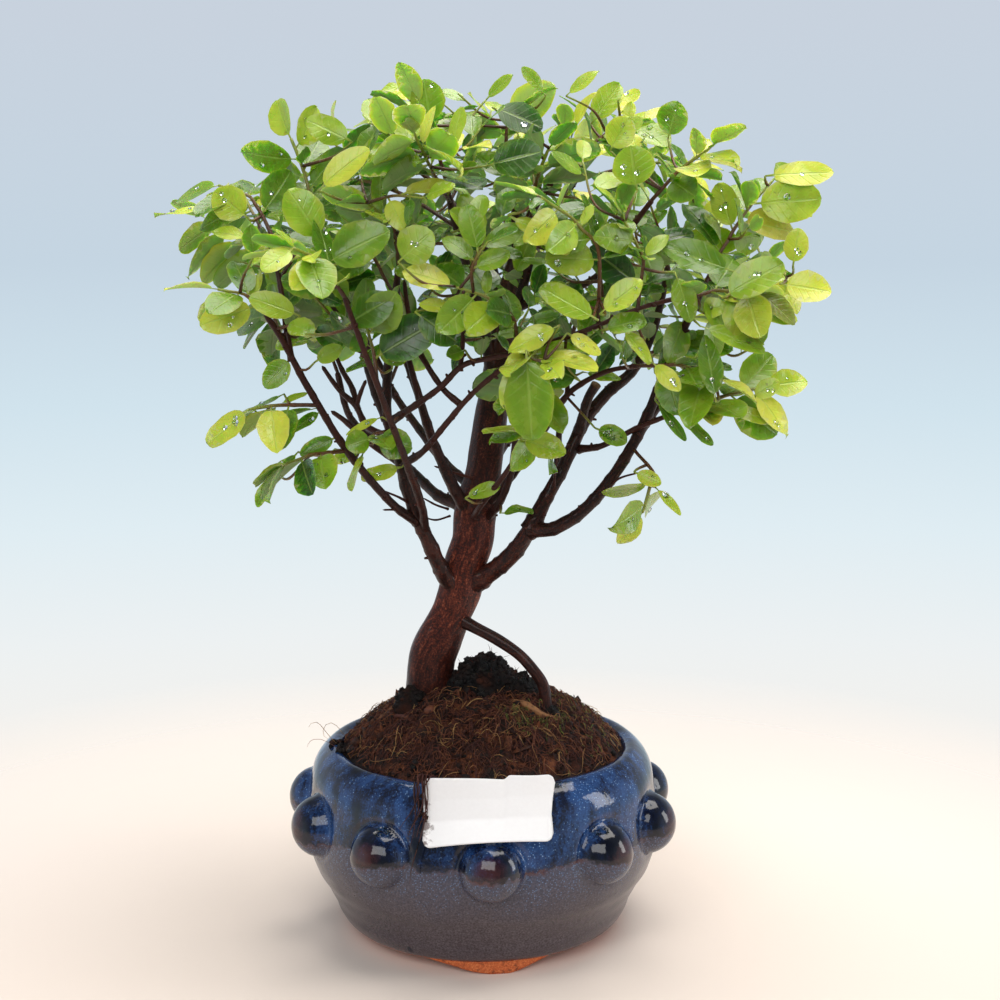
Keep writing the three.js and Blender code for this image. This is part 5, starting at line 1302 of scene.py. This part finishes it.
def spray_parts(lines):
    """Twigs with leaves on both sides in turn and one at the tip: their stems, and the leaves to try."""
    parts, found = [], []
    for i, line in enumerate(lines):
        path, along = smooth_path(line, STEM["step"])
        parts.append(stem_parts(path, along, 200 + i))
        tangent, across, other = frames(path[:, :3])
        turn = rng.random() * TURN
        from_centre = unit(path[-1, :3] - CROWN["centre"])
        places = np.arange(len(path) - 1, max(2, len(path) // 4), -int(rng.integers(3, 5)))
        for n, k in enumerate(places):
            a = turn + math.pi * n + rng.normal(0, 0.5)
            aside = across[k] * math.cos(a) + other[k] * math.sin(a)
            heading = tangent[k] * (2.2 if n == 0 else 0.5) + aside + 0.25 * from_centre
            size = rng.uniform(*SPRAY["leaf"]) * (0.8 if n == 0 else 1)
            facing = np.array([0, -0.2, 0.8]) + 0.75 * from_centre + 0.35 * rng.normal(size=3)
            found.append((path[k, :3], unit(heading) * size, facing, 1 - 0.2 * n))
    return parts, found


def seen_leaves(wood):
    """The leaves of SEEN_LEAVES, each on a thin twig from the nearest wood: stems, and rows of base, run,
    facing, width and tone. Each leaf's tip is 3 mm nearer to the camera than its base."""
    parts, rows = [], []
    for i, (u, v, tip_u, tip_v, depth, width, lean, tone) in enumerate(SEEN_LEAVES):
        base = from_picture(u, v, depth)
        run = from_picture(tip_u, tip_v, depth - 3) - base
        root = wood[int(np.argmin(np.linalg.norm(wood - base, axis=1)))]
        if np.linalg.norm(root - base) > 2:
            path, along = smooth_path(twig_line(root, base), STEM["step"])
            parts.append(stem_parts(path, along, 300 + i))
        rows.append((base, run, np.array([0.1 * rng.normal(), -lean, 1.15 - lean]), width, tone))
    return parts, rows


def has_room(leaf, middles):
    """Whether a leaf keeps clear of the others' middles and ends within LIMITS and CROWN_OUTLINE."""
    middle, tip = leaf[0] + leaf[1] * 0.6, leaf[0] + leaf[1]
    level = np.all(tip[:2] > LIMITS["low"]) and np.all(tip[:2] < LIMITS["high"])
    if not (level and tip[2] < LIMITS["top"] and in_crown(tip)):
        return False
    return np.linalg.norm(np.array(middles) - middle, axis=1).min() > SMALL_LEAF["apart"]


def small_leaves(big, stems):
    """Leaves between the solids' ones: those given one by one, those on twigs in the crown's gaps, smaller
    ones across from the solids' ones, and some straight on the limbs.

    A leaf not given one by one is left out where it has no room. The others get a seed too low to turn
    yellow, and their shapes are the second result."""
    base, run, *_ = big
    limbs = {name: smooth_path(points, 1)[0] for name, points in LIMBS.items()}
    wood = np.vstack([path[4:, :3] for path in (*limbs.values(), *stems)])
    seen_stems, seen = seen_leaves(wood)
    middles = list(base + run * 0.6) + [leaf[0] + leaf[1] * 0.6 for leaf in seen]
    stem_pieces, found = spray_parts(spray_lines(middles, wood[wood[:, 2] > SPRAY["wood"]]))
    found = found + across_leaves(big, stems) + limb_leaves(limbs)
    kept = []
    for leaf in found:
        if has_room(leaf, middles):
            kept.append(leaf)
            middles.append(leaf[0] + leaf[1] * 0.6)
    bases, runs, facing, tips = (np.array([leaf[i] for leaf in kept]) for i in range(4))
    size = np.linalg.norm(runs, axis=1)
    widths = size * rng.uniform(*SMALL_LEAF["width"], len(size))
    sags = size * rng.uniform(*SMALL_LEAF["sag"], len(size))
    blades = leaf_parts(bases, runs, square_to(facing, runs), widths, sags, leaf_tone(bases + runs, tips),
                        SMALL_LEAF["stations"], SMALL_LEAF["stalk"])
    bases, runs, facing, widths, tones = (np.array([leaf[i] for leaf in seen]) for i in range(5))
    sags = np.linalg.norm(runs, axis=1) * rng.uniform(*SMALL_LEAF["seen_sag"], len(seen))
    shape = (bases, runs, square_to(facing, runs), widths, sags)
    seen_blades = leaf_parts(*shape, tones)
    seen_blades[2]["seed"] *= 0.9
    return join([*seen_stems, *stem_pieces, seen_blades, blades]), shape


def plum_leaf(node):
    """Small leathery leaf with a wet gloss: yellow green when young and in painted light, deep green when old
    and in painted shade, a paler midrib and six pairs of side veins that lean to the tip, faint yellow on a
    few, and a pale dull underside."""
    surface = node("UVMap", uv_map="surface")
    names = ("tone", "seed", "green", "under")
    tone, seed, green, under = (node("Attribute", attribute_name=name, out="Fac") for name in names)
    place = node("TexCoord", out="Object")
    parts = node("SeparateXYZ", {0: surface}).node.outputs
    out = node("Math", {0: parts["X"], 1: 0.5}, operation="SUBTRACT")
    out = node("Math", {0: out}, operation="ABSOLUTE")

    # Green by age and by the painted light and shade in tone, uneven in patches of 6 mm, with brown spots of
    # 2 mm
    patch = node("TexNoise", {"Vector": place, "Scale": per_metre(5.88), "Detail": 3})
    age_and_light = node("Math", {0: patch, 1: 0.35, 2: -0.175}, operation="MULTIPLY_ADD")
    age_and_light = node("Math", {0: age_and_light, 1: tone}, operation="ADD")
    blade = node("ValToRGB", {0: age_and_light}, stops=[
        (0.0, "#2c4b14"), (0.25, "#4b6f16"), (0.5, "#76941f"), (0.75, "#a4b833"), (1.0, "#d0d74a")])
    yellow = node("MapRange", {0: seed, 1: 0.97, 2: 0.99, 4: 0.7})
    spot = node("TexNoise", {"Vector": place, "Scale": per_metre(2.38), "Detail": 2})
    spot = node("MapRange", {0: spot, 1: 0.7, 2: 0.74, 4: 0.5})

    # Midrib and side veins, each about 0.3 mm wide
    rib = node("MapRange", {0: out, 1: 0.015, 2: 0.045, 3: 1.0, 4: 0.0})
    slant = node("Math", {0: out, 1: -0.42, 2: 0.0}, operation="MULTIPLY_ADD")
    slant = node("Math", {0: slant, 1: parts["Y"]}, operation="ADD")
    veins = node("Math", {0: slant, 1: 44.0}, operation="MULTIPLY")
    veins = node("Math", {0: veins}, operation="SINE")
    vein = node("MapRange", {0: veins, 1: 0.72})
    pale = node("Math", {0: vein, 1: 0.16}, operation="MULTIPLY")
    pale = node("Math", {0: pale, 1: rib}, operation="MAXIMUM")
    faint = node("Math", {0: pale, 1: 0.34}, operation="MULTIPLY")
    below = node("MapRange", {0: under, 1: 0.05, 2: 0.4, 4: 0.5})
    for share, layer in ((yellow, "#b9a03c"), (spot, "#6b5a22"), (faint, "#a9c45c"), (below, "#9fb47c")):
        blade = node("Mix", {0: share, 6: blade, 7: layer}, out=2, data_type="RGBA")

    # Stems and stalks: red-brown at the limb, tan and then green towards the tip
    stem = node("ValToRGB", {0: tone}, stops=[(0.0, "#3c1a10"), (0.5, "#6b4525"), (0.9, "#8a9438")])
    stalk = node("MapRange", {0: parts["Y"], 1: 0.12, 2: 0.15})
    stalk = node("Math", {0: stalk, 1: green}, operation="MULTIPLY")
    colour = stem
    for share, layer in ((green, "#9aa548"), (stalk, blade)):
        colour = node("Mix", {0: share, 6: colour, 7: layer}, out=2, data_type="RGBA")
    height = node("Math", {0: patch, 1: pale}, operation="SUBTRACT")
    bump = node("Bump", {"Strength": 0.34, "Distance": 0.0007, "Height": height})
    gloss = node("MapRange", {0: patch, 1: 0.35, 2: 0.65, 3: 0.17, 4: 0.34})
    gloss = node("MapRange", {0: below, 2: 0.5, 3: gloss, 4: 0.6})
    return {"Base Color": colour, "Roughness": gloss, "Normal": bump, "Specular IOR Level": 0.5,
            "Subsurface Weight": 0.35, "Subsurface Radius": (0.35, 1.0, 0.1), "Subsurface Scale": 0.0012}


def drop_parts(leaves):
    """Water drops: low domes on the upper face of leaves, each a quarter circle turned about its normal."""
    base, run, normal, width, sag = leaves
    count = DROP["count"]
    which = rng.integers(0, len(base), count)
    t = rng.uniform(*DROP["along"], count)
    s = rng.uniform(-DROP["aside"], DROP["aside"], count)
    side = unit(np.cross(normal[which], run[which]))
    half = 0.5 * width[which] * outline(t, BLADE["stalk"])
    up = 0.2 + 0.2 * half * np.abs(s) - sag[which] * t ** 2
    centre = base[which] + run[which] * t[:, None] + side * (half * s)[:, None] + normal[which] * up[:, None]
    size = rng.uniform(*DROP["radius"], count)
    tilt = np.linspace(0.15, math.pi / 2, 4)[:, None]
    angle = np.linspace(0, TURN, 8, endpoint=False)
    dome = around(np.sin(tilt), angle, DROP["height"] * np.cos(tilt))
    axes = np.stack([side, np.cross(normal[which], side), normal[which]], 1)
    points = centre[:, None, None] + (dome[None] @ axes[:, None]) * size[:, None, None, None]
    start = 32 * np.arange(count)[:, None, None]
    sides = (grid_faces(4, 8, True)[:, ::-1][None] + start).reshape(-1, 4)
    caps = np.array([np.arange(8), 24 + np.arange(8)[::-1]])
    faces = [sides, (caps[None] + start).reshape(-1, 8)]
    return points.reshape(-1, 3), faces, {}, np.zeros((32 * count, 2))


def water(node):
    """Clear water, left by a spray: smooth, IOR 1.33."""
    return {"Base Color": "#f4faff", "Roughness": 0.06, "IOR": 1.333, "Transmission Weight": 1.0}


# Tag

def tag_parts():
    """The tag: a sheet at the solids' row radii, with rounded corners, a curling top, a raised right end of
    its top edge, and a bottom edge that bows up over the front boss."""
    columns, rows = TAG["grid"]
    across = np.linspace(0, 1, columns)[None]
    up = np.linspace(0, 1, rows)[:, None]
    tall = TAG["top"] - TAG["bottom"]
    near_side = np.minimum(across, 1 - across) * TAG["wide"]
    corner = np.clip(TAG["corner"] - near_side, 0, None)
    cut = TAG["corner"] - np.sqrt(np.clip(TAG["corner"] ** 2 - corner ** 2, 0, None))
    low = TAG["bottom"] + TAG["bow"] * 4 * across * (1 - across) + TAG["lean"] * (across - 0.5)
    high = TAG["top"] + TAG["wave"] * np.sin(5 * across) + TAG["tab"] * smoothstep(across, *TAG["tab_starts"])
    height = mix(low, high, 0.5 + (up - 0.5) * (1 - 2 * cut / tall))
    radii = np.interp(up, np.linspace(0, 1, 4), TAG["radii"]) + TAG["middle"]
    radii = radii + TAG["curl"] * up ** 2 * np.sin(7 * across + 0.6)
    radii = radii + TAG["buckle"] * np.sin(9 * across + 4 * up) * (1 - up) * up
    degrees = mix(mix(*TAG["left"], up), mix(*TAG["right"], up), across)
    faces_out = [radii + TAG["thickness"] / 2, radii - TAG["thickness"] / 2]
    points = np.vstack([round_pot(reach, degrees, height).reshape(-1, 3) for reach in faces_out])
    front = grid_faces(rows, columns)
    count = rows * columns
    rim = np.concatenate([np.arange(columns), columns * np.arange(1, rows) + columns - 1,
                          columns * (rows - 1) + np.arange(columns - 2, -1, -1),
                          columns * np.arange(rows - 2, 0, -1)])
    following = np.roll(rim, -1)
    edge = np.stack([following, rim, rim + count, following + count], -1)
    uv = np.stack(np.broadcast_arrays(across, up), -1).reshape(-1, 2)
    return points, [front, front[:, ::-1] + count, edge], {}, np.vstack([uv, uv])


def coated_paper(node):
    """Coated label paper: white, with soil rubbed on along its left edge in smears of 4 mm. Its fibres are
    too fine to show, and are drawn as a faint mottle of 1.1 mm."""
    surface = node("UVMap", uv_map="surface")
    place = node("TexCoord", out="Object")
    fibre = node("TexNoise", {"Vector": place, "Scale": per_metre(1.11), "Detail": 3})
    across = node("SeparateXYZ", {0: surface}, out="X")
    dirt = node("TexNoise", {"Vector": place, "Scale": per_metre(3.85), "Detail": 5, "Roughness": 0.7})
    edge = node("MapRange", {0: across, 2: 0.14, 3: 0.2, 4: -0.12})
    smear = node("Math", {0: dirt, 1: edge}, operation="ADD")
    smear = node("MapRange", {0: smear, 1: 0.62, 2: 0.74, 4: 0.8})
    colour = node("Mix", {0: fibre, 6: "#f7f4f3", 7: "#fdfbfa"}, out=2, data_type="RGBA")
    colour = node("Mix", {0: smear, 6: colour, 7: "#4d2317"}, out=2, data_type="RGBA")
    bump = node("Bump", {"Strength": 0.08, "Distance": 0.0002, "Height": fibre})
    return {"Base Color": colour, "Roughness": 0.4, "Normal": bump}


def build_pot():
    """The pot with its three feet."""
    points, faces, marks, _ = join([pot_parts(), *(foot_parts(120 * i) for i in range(3))])
    glaze = material("glazed_stoneware", glazed_stoneware)
    piece("glazed_pot", points, faces, glaze, ["pot"], marks=marks)


def crumbs_on_soil(count, median, spread, tones, flat=1.0):
    """Crumbs over the whole soil, their sizes drawn round a median in mm."""
    x, y = scatter(count)
    sizes = np.exp(rng.normal(math.log(median), spread, count)).clip(0.3, 2.8)
    lift = 0.4 * sizes * flat
    return crumb_parts(np.stack([x, y, ground(x, y) + lift], -1), sizes, rng.uniform(*tones, count), flat)


def crumbs_between(places, ranges):
    """Crumbs at places, with sizes and tones drawn from two ranges."""
    sizes, tones = (rng.uniform(*ranges[key], len(places)) for key in ("size", "tone"))
    return crumb_parts(places, sizes, tones)


def on_clumps(clumps, count):
    """Random points of the clumps above the soil, and the ways that their surface faces there."""
    picks, ways = [], []
    for (points, *_), (centre, size) in zip(clumps, PEAT_CLUMPS):
        shown = points[points[:, 2] > ground(points[:, 0], points[:, 1]) + 0.5]
        share = int(count * len(shown) * size[0] ** 2 / 2.5e6) + 6
        chosen = shown[rng.integers(0, len(shown), share)]
        picks.append(chosen)
        ways.append(unit((chosen - centre) / np.array(size) ** 2))
    return np.vstack(picks), np.vstack(ways)


def thread_parts(lines, radius, tones):
    """Fibres along lines, with radii and tones drawn between two values."""
    return strand_parts(lines, rng.uniform(*radius, len(lines)), rng.uniform(*tones, len(lines)))


def surface_root(points):
    """A root or bit of wood on the soil: its points give x, y, height over the soil, radius and tone."""
    line = [(x, y, float(ground(x, y)) + up, radius) for x, y, up, radius, _ in points]
    path, along = smooth_path(line, 0.8)
    return tube(path[:, :3], along, path[:, 3], 10, twig_shape(7), {"tone": points[0][4]})


def all_crumbs(clumps):
    """The crumbs and chips on the soil, those on its clumps, and those on the pot's rim and wall."""
    places, _ = on_clumps(clumps, CLUMP_CRUMBS["count"])
    sizes = np.exp(rng.normal(*CLUMP_CRUMBS["log_size"], len(places))).clip(*CLUMP_CRUMBS["size"])
    degrees = rng.uniform(*SPILT["degrees"], SPILT["count"])
    spilt = round_pot(rng.uniform(*SPILT["reach"], SPILT["count"]), degrees, SPILT["height"])
    degrees = rng.uniform(*STUCK["degrees"], STUCK["count"])
    height = STUCK["top"] - STUCK["fall"] * rng.random(STUCK["count"]) ** 1.4
    radius, level = np.transpose(UPPER_WALL)
    stuck = round_pot(np.interp(height, level, radius) + 0.5, degrees, height)
    return join([crumbs_on_soil(*CRUMBS), crumbs_between(stuck, STUCK), crumbs_on_soil(*CHIPS),
                 crumb_parts(places, sizes, rng.uniform(*CLUMP_CRUMBS["tone"], len(places))),
                 crumbs_between(spilt, SPILT)])


def all_threads(clumps):
    """The fibres on the soil and its clumps, the moss, what hangs over the rim, and the roots on top."""
    moss = [(rng.normal(*x, count), rng.normal(*y, count)) for count, x, y in MOSS]
    roots, ways = on_clumps(clumps, TUFTS["count"])
    low = rng.uniform(*HANGING["low"], HANGING["count"])
    longest, end = HANGING["longest"]
    low[longest] = end
    threads = [thread_parts(fibre_lines(*lines), radius, tone) for *lines, radius, tone in FIBRES]
    for at in moss:
        lines = fibre_lines(len(at[0]), MOSS_THREAD["length"], MOSS_THREAD["lift"], at=at)
        threads.append(thread_parts(lines, MOSS_THREAD["radius"], MOSS_THREAD["tone"]))
    threads += [thread_parts(tuft_lines(roots, TUFTS["length"], ways), TUFTS["radius"], TUFTS["tone"]),
                thread_parts(over_rim(low), HANGING["radius"], HANGING["tone"]),
                thread_parts(np.array(RIM_HAIRS, float), RIM_HAIR["radius"], RIM_HAIR["tone"])]
    return join([*threads, *(surface_root(root) for root in SURFACE_ROOTS)])


def build_soil():
    """The soil with its lumps, the crumbs and chips on it, and its fibres, roots and moss."""
    peat = material("damp_peat", damp_peat)
    fibre = material("dry_root_fibre", dry_root_fibre)
    clumps = [clump_parts(centre, size, 80 + 5 * i) for i, (centre, size) in enumerate(PEAT_CLUMPS)]
    points, faces, marks, _ = join([soil_parts(), *clumps])
    piece("potting_soil", points, faces, peat, ["soil"], marks=marks)
    points, faces, marks, _ = all_crumbs(clumps)
    piece("soil_crumbs", points, faces, peat, marks=marks)
    points, faces, marks, _ = all_threads(clumps)
    piece("soil_fibres", points, faces, fibre, marks=marks)


def build_plant():
    """The tree, its leaves and the water on them."""
    points, faces, marks, uv = join(tree_parts())
    piece("woody_tree", points, faces, material("flaking_bark", flaking_bark), ["tree"], uv, marks)
    leaf = material("plum_leaf", plum_leaf)
    parts, big, stems = shoot_parts()
    points, faces, marks, uv = join(parts)
    piece("leafy_shoots", points, faces, leaf, SHOOTS, uv, marks)
    (points, faces, marks, uv), seen = small_leaves(big, stems)
    piece("small_leaves", points, faces, leaf, uv=uv, marks=marks)
    points, faces, _, _ = drop_parts([np.concatenate(pair) for pair in zip(big, seen)])
    piece("water_drops", points, faces, material("water", water))


def build():
    """All pieces of the object."""
    build_pot()
    build_soil()
    build_plant()
    points, faces, _, uv = tag_parts()
    piece("paper_tag", points, faces, material("coated_paper", coated_paper), ["label"], uv)


def lamp(name, place, aim, size, power, colour):
    """A rectangular soft light at a place in metres, turned to aim."""
    light = bpy.data.lights.new(name, "AREA")
    light.shape = "RECTANGLE"
    light.size, light.size_y = size
    light.energy = power
    light.color = linear(colour)[:3]
    made = bpy.data.objects.new(name, light)
    bpy.context.scene.collection.objects.link(made)
    made.location = place
    made.rotation_mode = "QUATERNION"
    made.rotation_quaternion = (Vector(aim) - made.location).to_track_quat("-Z", "Y")


def painted_board(node):
    """Matt painted board of warm white. It fades into the backdrop from 10 to 40 cm from the pot's axis."""
    place = node("TexCoord", out="Object")
    far = node("VectorMath", {0: place}, operation="LENGTH", out="Value")
    near, gone = FLOOR["fade"]
    shown = node("MapRange", {0: far, 1: near, 2: gone, 3: 1.0, 4: 0.0})
    return {"Base Color": "#ebddd1", "Roughness": 0.8, "Alpha": shown}


def backdrop():
    """A pale sky: cream below, where the floor fades into it, and pale blue from its horizon up.

    As light it is full behind the object and beside it, and dim in front of it and high up, as in a room with
    pale walls, so that dark wet surfaces stay dark and the lamps model the shapes."""
    world = bpy.data.worlds.new("studio")
    bpy.context.scene.world = world
    world.use_nodes = True
    world.node_tree.nodes.clear()
    node = functools.partial(add, world.node_tree)
    heading = node("TexCoord", out="Generated")
    parts = node("SeparateXYZ", {0: heading}).node.outputs
    place = node("MapRange", {0: parts["Z"], 1: -0.41, 2: 0.2})
    sky = node("ValToRGB", {0: place}, stops=[
        (0.0, "#faede2"), (0.1, "#f9f1ec"), (0.2, "#f5f2ed"), (0.3, "#edf1f2"), (0.41, "#e0edf3"),
        (0.53, "#d1e3ed"), (0.67, "#c5d5e2"), (0.9, "#c8d2de")])
    high = node("MapRange", {0: parts["Z"], 1: 0.2, 2: 0.6, 3: 1.0, 4: 0.4})
    beside = node("Math", {0: parts["X"]}, operation="ABSOLUTE")
    turned = node("Math", {0: beside, 1: 0.8, 2: parts["Y"]}, operation="MULTIPLY_ADD")
    front = node("MapRange", {0: turned, 1: -0.35, 2: 0.3, 3: 0.3})
    light = node("Math", {0: high, 1: front}, operation="MULTIPLY")
    in_view = node("LightPath", out="Is Camera Ray")
    strength = node("Mix", {0: in_view, 2: light, 3: 1.0}, data_type="FLOAT")
    node("OutputWorld", {"Surface": node("Background", {"Color": sky, "Strength": strength})})


def studio():
    """Plain pale floor, plain backdrop, and three wide soft lights: overhead, in front, and at the right."""
    sides = FLOOR["sides"]
    rings = np.concatenate([[FLOOR["middle"]], np.geomspace(*FLOOR["rings"])])
    angle = np.linspace(0, TURN, sides, endpoint=False)
    points = around(rings[:, None], angle, 0).reshape(-1, 3)
    mesh = bpy.data.meshes.new("studio_floor")
    mesh.from_pydata(points.tolist(), [], [*grid_faces(len(rings), sides, True).tolist(), list(range(sides))])
    mesh.materials.append(material("painted_board", painted_board))
    floor = bpy.data.objects.new("studio_floor", mesh)
    bpy.context.scene.collection.objects.link(floor)
    backdrop()
    for name, place, height, size, power, colour in LAMPS:
        lamp(name, place, (0, 0, height), size, power, colour)
    bpy.context.scene.view_settings.view_transform = "Standard"


def camera():
    """The photograph's camera."""
    data = bpy.data.cameras.new("camera")
    data.sensor_width = CAMERA["sensor"]
    data.lens = CAMERA["lens"]
    data.clip_start, data.clip_end = 0.01, 60
    made = bpy.data.objects.new("camera", data)
    bpy.context.scene.collection.objects.link(made)
    made.location = [c * MM for c in CAMERA["place"]]
    made.rotation_euler = (math.radians(90 - CAMERA["down_degrees"]), 0, 0)
    bpy.context.scene.camera = made


camera()
build()
studio()
